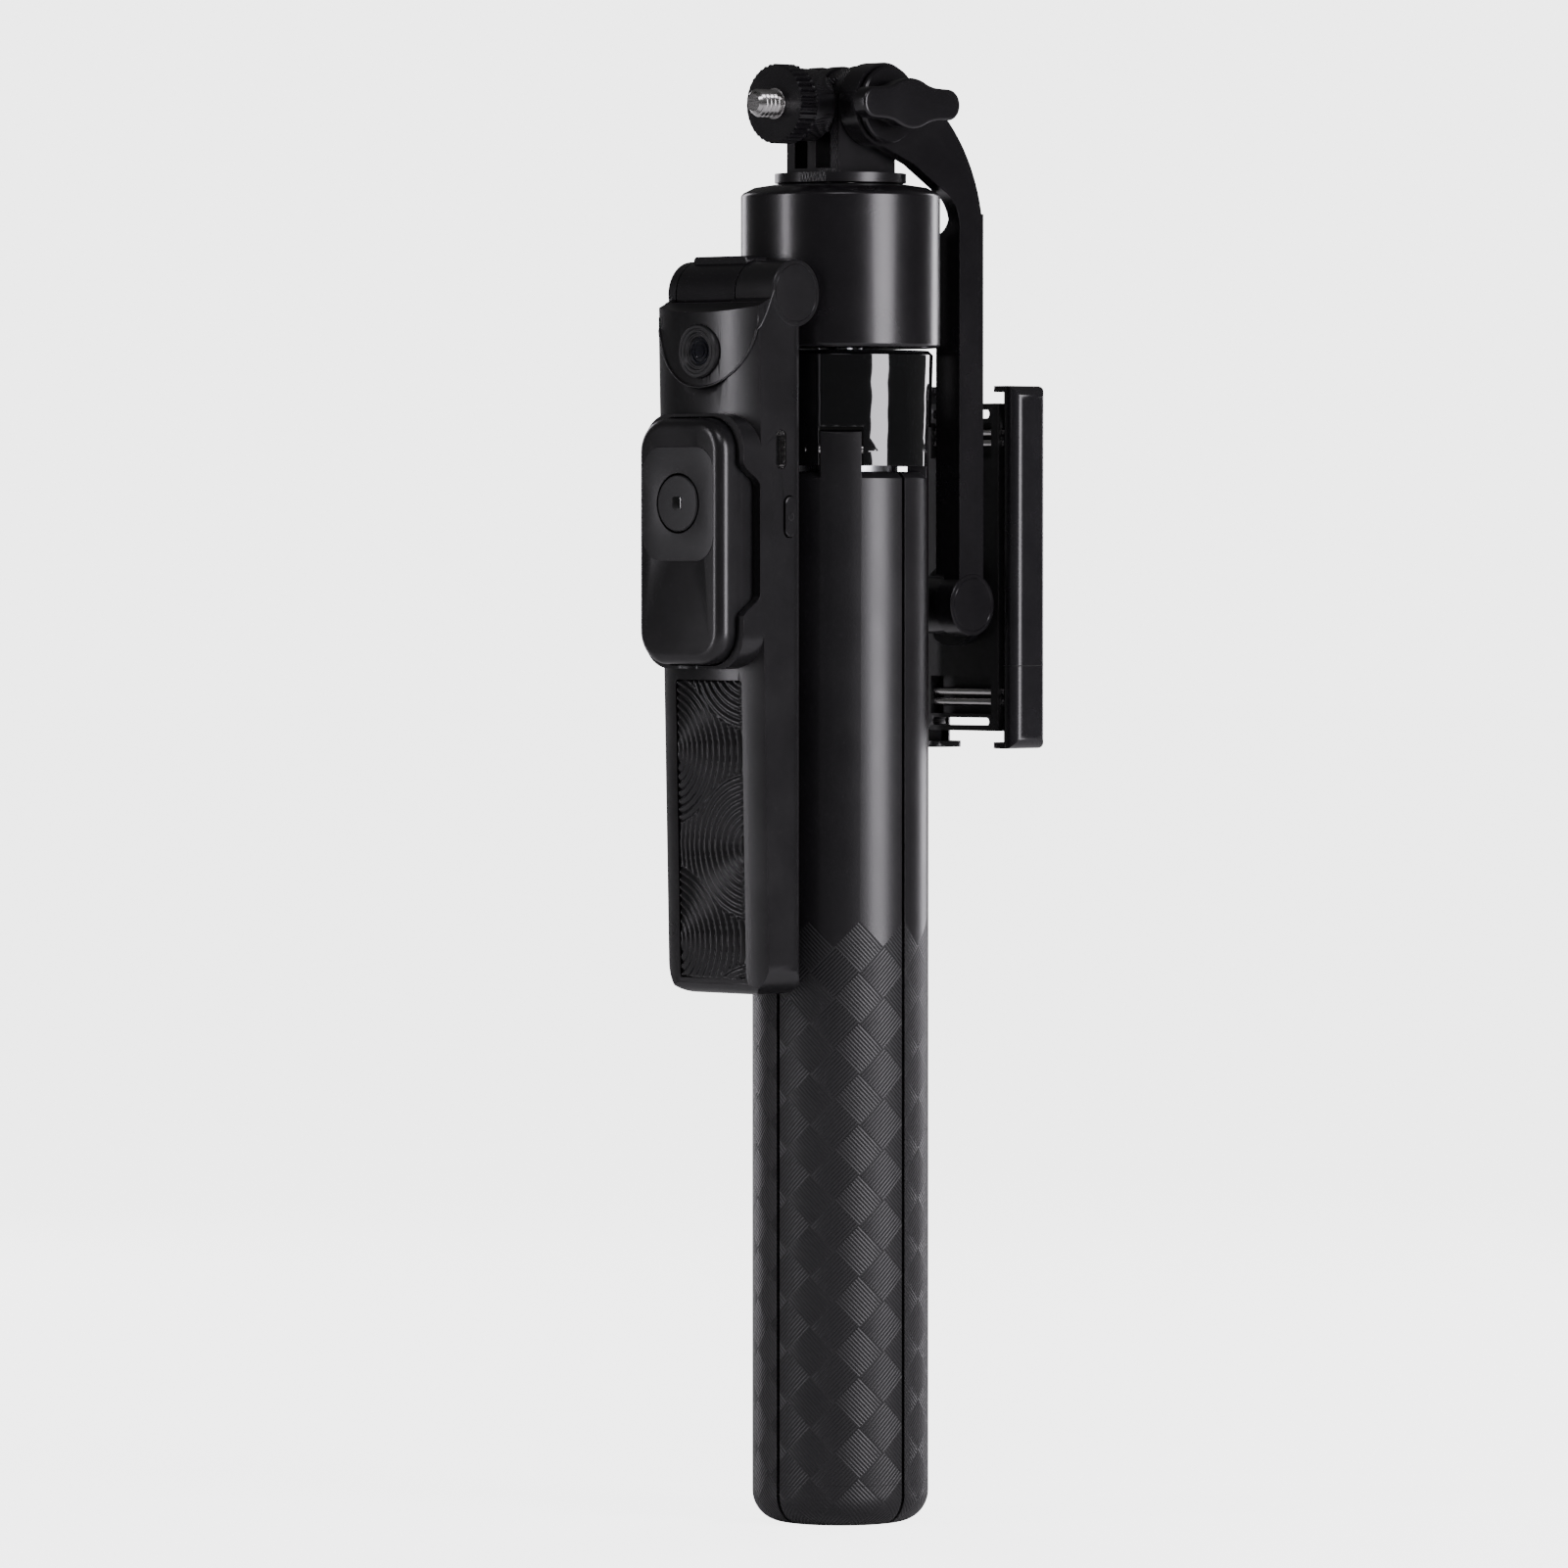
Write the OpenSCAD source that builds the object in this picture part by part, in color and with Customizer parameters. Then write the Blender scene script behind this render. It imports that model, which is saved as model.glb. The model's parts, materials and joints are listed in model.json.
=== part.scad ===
// Selfie stick: four fold-out legs, a telescopic pole, a turning head with a camera screw,
// a swing-up phone clamp, and a hinged camera unit that stores its remote control.
// Frame: millimetres, +Z up, origin on the pole axis at floor level, -Y is the front
// (camera unit), +Y is the back (phone clamp), +X is the side with the wing knob.

/* [Legs] */
// Outer radius of the folded legs
handle_r = 20; // [19.5:0.1:20.2]
// Height of the folded legs
leg_h = 238.2; // [236:0.1:238.4]
// Wall thickness of a leg
leg_wall = 3.8; // [3:0.1:4.2]
// Gap between two folded legs
leg_gap = 0.9; // [0.6:0.1:1.4]
// Width of a leg's hinge tab
tab_w = 9.3; // [8:0.1:9.6]

/* [Pole] */
// Outer radius of the fixed tube
pole_r = 13; // [12.8:0.1:13.2]
// Wall thickness of each tube
tube_wall = 0.7; // [0.5:0.05:0.8]
// Step in outer radius from one tube to the next
tube_step = 1.6; // [1.5:0.05:1.6]
// Height of the lower end of the moving tubes
tube_foot = 34; // [33:1:40]

/* [Head] */
// Outer radius of the head housing
head_r = 22.6; // [22:0.1:22.7]
// Height of the hinge axis above the floor
hinge_z = 321; // [320:0.5:323]
// Radius of the hinge knuckles
knuckle_r = 9; // [8:0.1:9.2]
// Radius of the camera screw (1/4 inch, 20 threads)
stud_r = 3.175; // [3.1:0.005:3.175]
// Radius of the knurled lock wheel
wheel_r = 9; // [8:0.1:9.2]

/* [Phone arm and clamp] */
// Distance from the pole axis to the lower pivot of the arm
arm_pivot_y = 28.5; // [28:0.1:29]
// Height of the lower pivot of the arm
arm_pivot_z = 208; // [206:0.5:210]
// Overall width of the clamp
clamp_w = 35; // [34:0.5:38]
// Height of the clamp's lower end
clamp_low = 175; // [172:0.5:176]
// Height of the clamp's upper end
clamp_top = 258; // [256:0.5:260]

/* [Camera unit] */
// Width of the camera unit
unit_w = 32; // [31:0.5:34]
// Height of its lower end
unit_low = 121; // [119:0.5:123]
// Wall thickness of its shells
unit_wall = 1.8; // [1.5:0.1:2]
// Width of the remote control
remote_w = 27; // [26:0.1:27.2]
// Height of the remote control
remote_h = 55; // [54:0.1:55.4]

/* [Hidden] */
$fn = 96;

big = 400;                        // larger than the whole object, for cutting
fit = 0.05;                       // radial play of a running fit
gap = 0.35;                       // clear space between parts that move

// Colours
soft_black = "#1f1d21";
deep_black = "#0c0b0d";
rubber = "#2b2b2e";
steel = "silver";
aluminium = "#b9bcc0";

// Legs and hub
leg_in = handle_r - leg_wall;     // inner radius of a leg
leg_bevel = 1.5;                  // bevel round the top of a leg
foot_h = 9.5;                     // height of a rubber foot
foot_round = 7;                   // radius of its lower edge
foot_in = 2.5;                    // inner radius of a foot
foot_sole = 3.5;                  // thickness of its sole
leg_pin_r = 1.25;
leg_pin_len = 16;
leg_axis_r = 17.6;                // distance of a leg's hinge pin from the pole axis
leg_axis_z = 243.2;
tab_r = 4.4;                      // end radius of the hinge tab
tab_in = 15.2;                    // inner face of the hinge tab
hub_low = 239.5;
hub_top = 265.6;
hub_low_r = 20.3;
hub_top_r = 21;
notch_in = 13.4;                  // inner face of the notch for a tab

// Pole
stages = 5;                       // number of moving tubes
tube_top = 264.5;
base_tube_low = 26;
lip_h = 3;                        // rolled lip at the top of an outer tube
lip_play = 0.12;
bush_h = 8;
bush_rise = 0.5;                  // height of a bush above its tube's lower end
top_tube_end = 276;               // the top tube runs on into the head
function tube_r(i) = pole_r - i * tube_step;

// Head housing
head_low = 266.2;
head_shoulder = 301.3;              // where the dome starts
head_dome = 303.2;                // top of the dome
head_wall = 2;
floor_t = 2.4;
dome_r = 15;                      // flat top of the dome
spindle_r = 5.5;
neck_r = 14.9;
neck_low = 303.55;
neck_top = 305.7;
motor_r = 14;
motor_low = 279;
motor_top = 292;

// Hinge at the top: the yoke has three prongs, the stud block has two
prongs = [[-8.2, -5.7], [-1.6, 1.0], [5.7, 8.5]];
stud_prongs = [[-5.4, -1.9], [1.3, 5.4]];
yoke_base_top = 306.8;
bolt_r = 2.5;
block_back = -9.9;                // the stud block's solid part starts here
block_front = -15.5;
wheel_front = -21.3;
stud_tip = -27.8;
stud_bevel = 0.8;
stud_root = -11;
shank_r = 3.5;                    // thicker shank that the lock wheel turns on
shank_end = -21.35;

// Wing knob, from the arm outward
flange_x = [14.3, 16];
flange_r = 8.7;
knob_x = [16, 23];
knob_half = 15.5;                 // half the knob's length
knob_lobe_r = 3.35;
knob_hub_r = 5.75;

// Phone arm: thin curved upper part and a thick straight lower bar, drawn in the Y-Z plane
arm_out = 14;                     // outer face
arm_thin_in = 10.5;               // inner face of the curved part
arm_thick_in = 6.5;               // inner face of the straight bar
arm_knuckle_in = 8.8;
arm_front = 24.4;
arm_back = 32.2;
front_bend = [15.7, 294, 8.7];    // centre and radius of the front bend
neck_bend = [9.6, 307.8];         // where the arm's lower edge passes over the neck
back_bend = [-7.2, 290, 39.4];    // centre and radius of the back bend
arm_disc_r = 7.1;
barrel_r = 6.6;
barrel_half = 8.7;
arm_pin_r = 2;
screw_r = 1.2;
blend_r = 5;                      // radius where the bar thins into the curved part
blend_z = 297;

// Phone clamp: a centre plate and two side jaws that slide apart on steel rods
plate_y = [39.3, 43.5];           // front and back of the plate
plate_end = 4;                    // the plate is this much shorter than the jaws at each end
jaw_w = 5.3;                      // width of a jaw
jaw_back = 50;                    // tip of a jaw's lip
jaw_corner = 2.6;
groove_w = 2.1;                   // groove that takes the phone's edge
groove_y = [43.9, 48];
jaw_end_w = 9;                    // a jaw's end wall reaches this far inward
jaw_end_t = 1.4;
jaw_rod_r = 0.9;
jaw_rod_y = 41.1;
rods_right = [188, 247.4];        // heights of the two rods of each jaw
rods_left = [185.6, 244.9];
rod_root = 2;                     // a rod ends this far inside a jaw's outer face
rod_tip = 1.7;                    // and this far inside the other jaw's outer face
rod_window = [[182.9, 191.5], [241.5, 249.6]];
window_half = 9.6;
window_depth = 3.1;
slot_z = [[180.2, 182], [250.6, 252.6]];
turntable_r = 9.5;
turntable_y = [36, 38.9];
post_r = 3;
screw_head = [5, 1.1];            // radius and thickness
spring_z = [224, 230];
spring_r = 1.3;
spring_wire = 0.25;
spring_turns = 14;

// Camera unit
half_w = unit_w / 2;
unit_back = -27;
unit_seam = -35;                  // joint between its two shells
unit_front = -45;                 // front at the top, in the middle
bulge_r = 42;                     // radius of the curved front
taper = 1.27;                     // the front leans in by this angle towards the bottom
hood_top = 272.5;
hood_z = 272.8;                   // centre and radius of the hood's round lower edge
hood_r = 15.8;
hood_t = 1.1;                     // the hood is let this deep into the front shell
hood_back = -40;
sweep_w = 3.3;                    // width and depth of the hollow sweep under the hood
sweep_depth = 1.2;
barrel_y = -30.5;
barrel_z = 278;
unit_barrel_r = 7.5;
bracket_x = [-14.3, 4.2];         // middle knuckle, fixed to the head
knuckle_gap = 0.3;
unit_end_x = -17;
lug_h = 1;
lug_half = 3.2;                   // half the depth of the lug
unit_pin_r = 2;
cradle_z = [194, 251];
cradle_front = -46.8;
cradle_floor = [-39.4, -37.6];
cradle_corner = 8;
remote_low = 195;
remote_front = -51.5;
remote_back = -39.8;
remote_split = -45;
remote_corner = 7.6;
remote_play = 0.35;
remote_wall = 1.4;
thumb_z = [209, 237];             // finger cut-outs at the sides of the cradle
thumb_front = -41.5;
shutter_z = 231;
shutter_r = 6.4;
lens_z = 265;
lens_r = 3.1;
bezel_r = 6.1;
bezel_seat = -44.2;               // the bezel's rim sits on the front shell at this depth
pad_z = [124.5, 191.5];
pad_half = 10.5;
pad_thick = 1.2;
pad_corner = 1;
usb_z = 243;
usb_size = [7.5, 3.2, 8.9];
power_z = 228;
power_y = -32.4;
power_size = [3.2, 9];            // width and height of the power button

// Radius swept by the lug's corners when the unit turns past it
lug_sweep = sqrt(pow(lug_half, 2) + pow(unit_barrel_r + lug_h, 2));

// ---------------------------------------------------------------- shared shapes

function arc(cx, cy, r, a0, a1, n = 16) =
    [for (i = [0:n]) let (a = a0 + (a1 - a0) * i / n) [cx + r * cos(a), cy + r * sin(a)]];

// Cylinders along X and along Y between two ends
module rod_along_x(r, x0, x1, y, z)
    translate([x0, y, z]) rotate([0, 90, 0]) cylinder(r = r, h = x1 - x0);

module rod_along_y(r, y0, y1, x, z)
    translate([x, y1, z]) rotate([90, 0, 0]) cylinder(r = r, h = y1 - y0);

// An outline drawn in the Y-Z plane, given thickness along X
module slab_x(x0, x1)
    translate([x0, 0, 0]) rotate([90, 0, 90]) linear_extrude(x1 - x0) children();

// An outline drawn in the X-Z plane, given thickness along Y
module slab_y(y0, y1)
    translate([0, y1, 0]) rotate([90, 0, 0]) linear_extrude(y1 - y0) children();

module block(x, y, z) translate([x[0], y[0], z[0]]) cube([x[1] - x[0], y[1] - y[0], z[1] - z[0]]);

module ring(outer, inner, z0, z1) {
    difference() {
        translate([0, 0, z0]) cylinder(r = outer, h = z1 - z0);
        translate([0, 0, z0 - 1]) cylinder(r = inner, h = z1 - z0 + 2);
    }
}

module round_rect(x0, y0, x1, y1, r) {
    translate([x0 + r, y0]) square([x1 - x0 - 2 * r, y1 - y0]);
    translate([x0, y0 + r]) square([x1 - x0, y1 - y0 - 2 * r]);
    for (x = [x0 + r, x1 - r], y = [y0 + r, y1 - r]) translate([x, y]) circle(r = r, $fn = 48);
}

// ---------------------------------------------------------------- legs

// Turns a shape drawn on the +X axis to the place of leg i
module at_leg(i) rotate([0, 0, 45 + 90 * i]) children();

module leg_quarter()
    rotate([0, 0, -45]) translate([leg_gap / 2, leg_gap / 2, 0]) cube([big, big, big]);

module tab_outline() {
    intersection() {
        translate([leg_axis_r, leg_axis_z]) circle(r = tab_r);
        translate([tab_in, leg_axis_z]) square([2 * tab_r, tab_r]);
    }
    translate([tab_in, leg_h - leg_bevel]) square([2 * tab_r, leg_axis_z - leg_h + leg_bevel]);
}

module leg(i) {
    color(soft_black) at_leg(i) difference() {
        union() {
            intersection() {
                rotate_extrude() polygon([
                    [leg_in, foot_h], [handle_r, foot_h], [handle_r, leg_h - leg_bevel],
                    [handle_r - leg_bevel, leg_h], [leg_in, leg_h]
                ]);
                leg_quarter();
            }
            intersection() {
                cylinder(r = handle_r, h = big);
                slab_y(-tab_w / 2, tab_w / 2) tab_outline();
            }
        }
        rod_along_y(leg_pin_r + fit, -big / 2, big / 2, leg_axis_r, leg_axis_z);
    }
}

module foot(i) {
    color(rubber) at_leg(i) intersection() {
        rotate_extrude() polygon(concat(
            [[leg_in, foot_h], [leg_in, foot_sole], [foot_in, foot_sole], [foot_in, 0]],
            arc(handle_r - foot_round, foot_round, foot_round, -90, 0), [[handle_r, foot_h]]
        ));
        leg_quarter();
    }
}

module leg_hub() {
    color(deep_black) difference() {
        rotate_extrude() polygon([
            [pole_r, hub_low], [hub_low_r, hub_low], [hub_top_r, hub_top - 1],
            [hub_top_r - 1, hub_top], [pole_r, hub_top]
        ]);
        for (i = [0:3]) at_leg(i) {
            block([notch_in, big], [-tab_w / 2 - gap, tab_w / 2 + gap],
                  [0, leg_axis_z + tab_r + 2 * gap]);
            rod_along_y(leg_pin_r, -leg_pin_len / 2, leg_pin_len / 2, leg_axis_r, leg_axis_z);
        }
    }
}

module leg_hinge_pins() {
    color(steel) for (i = [0:3]) at_leg(i)
        rod_along_y(leg_pin_r, -leg_pin_len / 2, leg_pin_len / 2, leg_axis_r, leg_axis_z);
}

// ---------------------------------------------------------------- telescopic pole

// Tube i of the pole with a rolled lip that guides the next tube
module pole_tube(i, low, top) {
    color(aluminium) difference() {
        translate([0, 0, low]) cylinder(r = tube_r(i), h = top - low);
        translate([0, 0, low - 1]) cylinder(r = tube_r(i) - tube_wall, h = tube_top - low - lip_h + 1);
        cylinder(r = i < stages ? tube_r(i + 1) + lip_play : tube_r(i) - tube_wall, h = big);
    }
}

module base_tube() pole_tube(0, base_tube_low, tube_top);

module base_plug() {
    color(deep_black) {
        translate([0, 0, base_tube_low]) cylinder(r = pole_r - tube_wall, h = 6);
        translate([0, 0, base_tube_low - 2]) cylinder(r = pole_r, h = 2);
    }
}

module moving_tube(i) pole_tube(i, tube_foot, i < stages ? tube_top : top_tube_end);

// Sliding bush round the lower end of tube i
module bush(i)
    color("ivory") ring(tube_r(i - 1) - tube_wall - fit, tube_r(i),
                        tube_foot + bush_rise, tube_foot + bush_rise + bush_h);

// ---------------------------------------------------------------- head housing

module head_floor() {
    color(soft_black) difference() {
        union() {
            translate([0, 0, head_low]) cylinder(r = head_r - head_wall, h = floor_t);
            translate([0, 0, head_low]) cylinder(r = tube_r(stages) + 4, h = top_tube_end - head_low + 1.5);
        }
        translate([0, 0, head_low - 1]) cylinder(r = tube_r(stages), h = top_tube_end - head_low + 1);
    }
}

module head_shell() {
    color(soft_black) difference() {
        rotate_extrude() polygon(concat(
            [[head_r - head_wall, head_low], [head_r - 0.6, head_low], [head_r, head_low + 0.6],
             [head_r, head_shoulder - 0.6], [head_r - 0.6, head_shoulder]],
            [[head_r - 3, head_shoulder + 1.2], [dome_r + 2, head_dome - 0.3], [dome_r, head_dome]],
            [[spindle_r + fit, head_dome], [spindle_r + fit, motor_top],
             [spindle_r + 5, motor_top], [spindle_r + 5, head_shoulder - 0.5],
             [head_r - head_wall, head_shoulder - 2]]
        ));
    }
}

module pan_motor() {
    color("#7c7f84") {
        translate([0, 0, motor_low]) cylinder(r = motor_r, h = motor_top - motor_low - 2);
        ring(head_r - head_wall, motor_r, motor_low + 2, motor_low + 4);
    }
}

// Middle hinge knuckle with its web into the head and the flat lug on top
module unit_bracket() {
    color(soft_black) difference() {
        union() {
            rod_along_x(unit_barrel_r, bracket_x[0], bracket_x[1], barrel_y, barrel_z);
            difference() {
                block([bracket_x[0] + 1.2, bracket_x[1] - 1.2], [barrel_y, -head_r / 2],
                      [barrel_z - 5, barrel_z + 5.5]);
                translate([0, 0, head_low]) cylinder(r = head_r, h = big);
            }
            slab_y(barrel_y - lug_half, barrel_y + lug_half)
                round_rect(bracket_x[0] + 1.2, barrel_z, bracket_x[1] - 0.4, barrel_z + unit_barrel_r + lug_h, 1);
        }
        rod_along_x(unit_pin_r + fit, -big / 2, big / 2, barrel_y, barrel_z);
    }
}

// ---------------------------------------------------------------- yoke, stud block, wheel

module prong_outline() {
    translate([0, hinge_z]) circle(r = knuckle_r);
    translate([-knuckle_r, neck_top - 1]) square([2 * knuckle_r, hinge_z - neck_top + 1]);
}

module yoke() {
    color(soft_black) difference() {
        union() {
            translate([0, 0, neck_low]) cylinder(r = neck_r, h = neck_top - neck_low);
            for (p = prongs) slab_x(p[0], p[1]) prong_outline();
            block([prongs[0][0], prongs[2][1]], [-knuckle_r, knuckle_r], [neck_top - 1, yoke_base_top]);
        }
        rod_along_x(bolt_r + 0.1, -big / 2, big / 2, 0, hinge_z);
        translate([0, 0, neck_low - 1]) cylinder(r = spindle_r - 1.5, h = 3);
    }
}

// Shaft that turns the yoke, with a collar under the dome
module pan_spindle() {
    color(steel) {
        translate([0, 0, motor_top - 1.6]) cylinder(r = spindle_r, h = neck_low - motor_top + 1.6);
        translate([0, 0, motor_top - 1.6]) cylinder(r = spindle_r + 1.5, h = 1.2);
        translate([0, 0, neck_low - 0.1]) cylinder(r = spindle_r - 1.5, h = 2.1);
    }
}

module pivot_nut() {
    color(steel) difference() {
        rod_along_x(5.4, -10.9, prongs[0][0], 0, hinge_z);
        rod_along_x(bolt_r + fit, -big / 2, big / 2, 0, hinge_z);
    }
}

module stud_block() {
    color(soft_black) difference() {
        union() {
            for (p = stud_prongs) {
                rod_along_x(knuckle_r - 0.5, p[0], p[1], 0, hinge_z);
                block(p, [block_back - 1, 0], [hinge_z - 6, hinge_z + 6]);
            }
            rod_along_y(knuckle_r - 0.8, block_front, block_back, 0, hinge_z);
        }
        rod_along_x(bolt_r + 0.1, -big / 2, big / 2, 0, hinge_z);
        rod_along_y(shank_r, -big, stud_root, 0, hinge_z);
    }
}

module camera_stud() {
    color(steel) {
        rod_along_y(shank_r, shank_end, stud_root, 0, hinge_z);
        rod_along_y(stud_r, stud_tip + stud_bevel, shank_end, 0, hinge_z);
        translate([0, stud_tip + stud_bevel, hinge_z]) rotate([90, 0, 0])
            cylinder(r1 = stud_r, r2 = stud_r - stud_bevel, h = stud_bevel);
    }
}

module lock_wheel() {
    color(soft_black) difference() {
        rod_along_y(wheel_r, wheel_front, block_front - gap, 0, hinge_z);
        rod_along_y(shank_r + fit, -big, 0, 0, hinge_z);
    }
}

// ---------------------------------------------------------------- wing knob and bolt

module wing_outline() {
    circle(r = knob_hub_r);
    for (s = [-1, 1]) {
        translate([s * (knob_half - knob_lobe_r), 0]) circle(r = knob_lobe_r);
        polygon([
            [0, -knob_hub_r], [s * (knob_half - knob_lobe_r), -knob_lobe_r],
            [s * (knob_half - knob_lobe_r), knob_lobe_r], [0, knob_hub_r]
        ]);
    }
}

module wing_knob() {
    color(soft_black) difference() {
        union() {
            slab_x(knob_x[0], knob_x[1]) translate([0, hinge_z]) wing_outline();
            rod_along_x(flange_r, flange_x[0], flange_x[1], 0, hinge_z);
        }
        rod_along_x(bolt_r, 0, knob_x[1] - 2, 0, hinge_z);
    }
}

module pivot_bolt() color(steel) rod_along_x(bolt_r, -10.5, knob_x[1] - 2, 0, hinge_z);

// ---------------------------------------------------------------- phone arm

module arm_outline() {
    translate([0, hinge_z]) circle(r = knuckle_r + 0.5);
    polygon(concat(
        [[-4, hinge_z - 8.1], [neck_bend[0], neck_bend[1]]],
        arc(front_bend[0], front_bend[1], front_bend[2], 65, 0),
        [[arm_front, arm_pivot_z], [arm_back, arm_pivot_z]],
        arc(back_bend[0], back_bend[1], back_bend[2], 0, 70, 24)
    ));
}

module arm_bar_outline() {
    translate([arm_front, arm_pivot_z]) square([arm_back - arm_front, blend_z - arm_pivot_z]);
}

module phone_arm() {
    color(soft_black) difference() {
        union() {
            slab_x(arm_thin_in, arm_out) arm_outline();
            rod_along_x(knuckle_r + 0.5, arm_knuckle_in, arm_out, 0, hinge_z);
            // thick bar, hollowed at its top so that it thins in a round curve
            difference() {
                slab_x(arm_thick_in, arm_out) arm_bar_outline();
                rod_along_y(blend_r, arm_front - 1, arm_back + 1, arm_thin_in - blend_r, blend_z);
            }
            rod_along_x(arm_disc_r, arm_knuckle_in + 0.2, arm_out, arm_pivot_y, arm_pivot_z);
        }
        // room for the clamp's barrel, which turns beside the arm
        block([0, arm_knuckle_in + 0.2], [0, arm_pivot_y + barrel_r + gap],
              [arm_pivot_z - 20, arm_pivot_z + barrel_r + gap]);
        rod_along_x(bolt_r + 0.1, 0, big, 0, hinge_z);
        rod_along_x(arm_pin_r, 0, big, arm_pivot_y, arm_pivot_z);
    }
}

module clamp_pivot_pin() {
    color(steel) {
        rod_along_x(arm_pin_r, -barrel_half - 0.4, arm_out - 0.6, arm_pivot_y, arm_pivot_z);
        rod_along_x(arm_pin_r + 1.5, -barrel_half - 1.2, -barrel_half - 0.3, arm_pivot_y, arm_pivot_z);
    }
}

module clamp_knuckle() {
    color(soft_black) difference() {
        union() {
            rod_along_x(barrel_r, -barrel_half, barrel_half, arm_pivot_y, arm_pivot_z);
            block([-6, 6], [arm_pivot_y, turntable_y[0] + 1], [arm_pivot_z - 5.5, arm_pivot_z + 5.5]);
            rod_along_y(turntable_r, turntable_y[0], turntable_y[1], 0, arm_pivot_z);
            rod_along_y(post_r, turntable_y[1] - 1, plate_y[1] - 1.4, 0, arm_pivot_z);
        }
        rod_along_x(arm_pin_r + fit, -big / 2, big / 2, arm_pivot_y, arm_pivot_z);
        rod_along_y(screw_r, arm_pivot_y + 4, big, 0, arm_pivot_z);
    }
}

module clamp_spin_screw() {
    color(steel) {
        rod_along_y(screw_r, arm_pivot_y + 4, plate_y[1] - 1.4, 0, arm_pivot_z);
        rod_along_y(screw_head[0], plate_y[1] - 1.4, plate_y[1] - 1.4 + screw_head[1], 0, arm_pivot_z);
    }
}

// ---------------------------------------------------------------- phone clamp

module clamp_frame() {
    half = clamp_w / 2 - jaw_w - 0.3;
    color(deep_black) difference() {
        block([-half, half], plate_y, [clamp_low + plate_end, clamp_top - plate_end]);
        rod_along_y(post_r + fit, 0, big, 0, arm_pivot_z);
        rod_along_y(screw_head[0] + gap, plate_y[1] - 1.6, big, 0, arm_pivot_z);
        for (z = concat(rods_right, rods_left))
            rod_along_x(jaw_rod_r + fit, -big / 2, big / 2, jaw_rod_y, z);
        for (z = spring_z) rod_along_x(spring_r, -window_half, window_half, jaw_rod_y, z);
        for (w = rod_window)
            block([-window_half, window_half], [0, plate_y[0] + window_depth], w);
        for (z = slot_z) slab_y(0, big)
            round_rect(-window_half + 0.6, z[0], window_half - 0.6, z[1], 0.85);
    }
}

// Return springs, each coiled along X inside the plate
module clamp_springs() {
    pitch = 2 * (window_half - spring_wire) / (spring_turns - 1);
    color(steel) for (z = spring_z, k = [0:spring_turns - 1])
        translate([-window_half + spring_wire + k * pitch, jaw_rod_y, z]) rotate([0, 90, 0])
            rotate_extrude($fn = 32) translate([spring_r - spring_wire, 0]) circle(r = spring_wire, $fn = 16);
}

// Shapes for the right side, turned over for the left
module on_side(side) mirror([side < 0 ? 1 : 0, 0, 0]) children();

module jaw_section() {
    difference() {
        round_rect(clamp_w / 2 - jaw_w, plate_y[0], clamp_w / 2, jaw_back, jaw_corner);
        translate([0, groove_y[0]])
            square([clamp_w / 2 - jaw_w + groove_w, groove_y[1] - groove_y[0]]);
    }
}

module jaw(side, own_rods, other_rods) {
    color(deep_black) on_side(side) difference() {
        intersection() {
            union() {
                translate([0, 0, clamp_low]) linear_extrude(clamp_top - clamp_low) jaw_section();
                for (z = [clamp_low, clamp_top - jaw_end_t]) translate([0, 0, z])
                    linear_extrude(jaw_end_t)
                        round_rect(clamp_w / 2 - jaw_end_w, plate_y[0] + 0.5, clamp_w / 2,
                                   jaw_back - 0.3, jaw_corner);
            }
            slab_y(0, big) round_rect(0, clamp_low, clamp_w / 2, clamp_top, 3.5);
        }
        for (z = own_rods) rod_along_x(jaw_rod_r, 0, clamp_w / 2 - rod_root, jaw_rod_y, z);
        for (z = other_rods)
            rod_along_x(jaw_rod_r + gap, 0, clamp_w / 2 - rod_tip + gap, jaw_rod_y, z);
    }
}

module jaw_rods(side, heights) {
    color(steel) on_side(side) for (z = heights)
        rod_along_x(jaw_rod_r, -clamp_w / 2 + rod_tip, clamp_w / 2 - rod_root, jaw_rod_y, z);
}

// ---------------------------------------------------------------- camera unit

// Outer form of the unit, drawn t inside its skin
module unit_form(t) {
    intersection() {
        slab_y(-big, unit_back - t) round_rect(-half_w + t, unit_low + t, half_w - t, big, 7 - t);
        slab_x(-big, big) {
            polygon(concat(
                arc(unit_back - 3, unit_low + 3, 3 - t, 0, -90, 8),
                arc(unit_front + 9, unit_low + 5, 5 - t, -90, -180, 8),
                [[unit_front - 3, unit_low + 12], [unit_front - 3, hood_top - t],
                 [unit_front + 8.5, hood_top + 5 - t], [barrel_y, barrel_z - t],
                 [unit_back - t, barrel_z - 8 - t]]
            ));
        }
        linear_extrude(big)
            round_rect(-half_w + t, unit_front - 1 + t, half_w - t, unit_back - t, 4 - t);
        translate([0, unit_front + bulge_r, lens_z]) rotate([taper, 0, 0])
            translate([0, 0, -big]) cylinder(r = bulge_r - t, h = 2 * big, $fn = 180);
    }
}

module unit_shell() {
    difference() {
        unit_form(0);
        unit_form(unit_wall);
        // room for the middle knuckle and its lug
        rod_along_x(lug_sweep + gap, bracket_x[0] - knuckle_gap, bracket_x[1] + knuckle_gap,
                    barrel_y, barrel_z);
        rod_along_x(unit_barrel_r, -big, big, barrel_y, barrel_z);
    }
}

module usb_cut() {
    slab_x(10, big) round_rect(unit_seam - usb_size[1] / 2, usb_z - usb_size[2] / 2,
                               unit_seam + usb_size[1] / 2, usb_z + usb_size[2] / 2, 1.5);
}

module power_outline(play) {
    round_rect(power_y - power_size[0] / 2 - play, power_z - power_size[1] / 2 - play,
               power_y + power_size[0] / 2 + play, power_z + power_size[1] / 2 + play,
               power_size[0] / 2 + play - 0.01);
}

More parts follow.
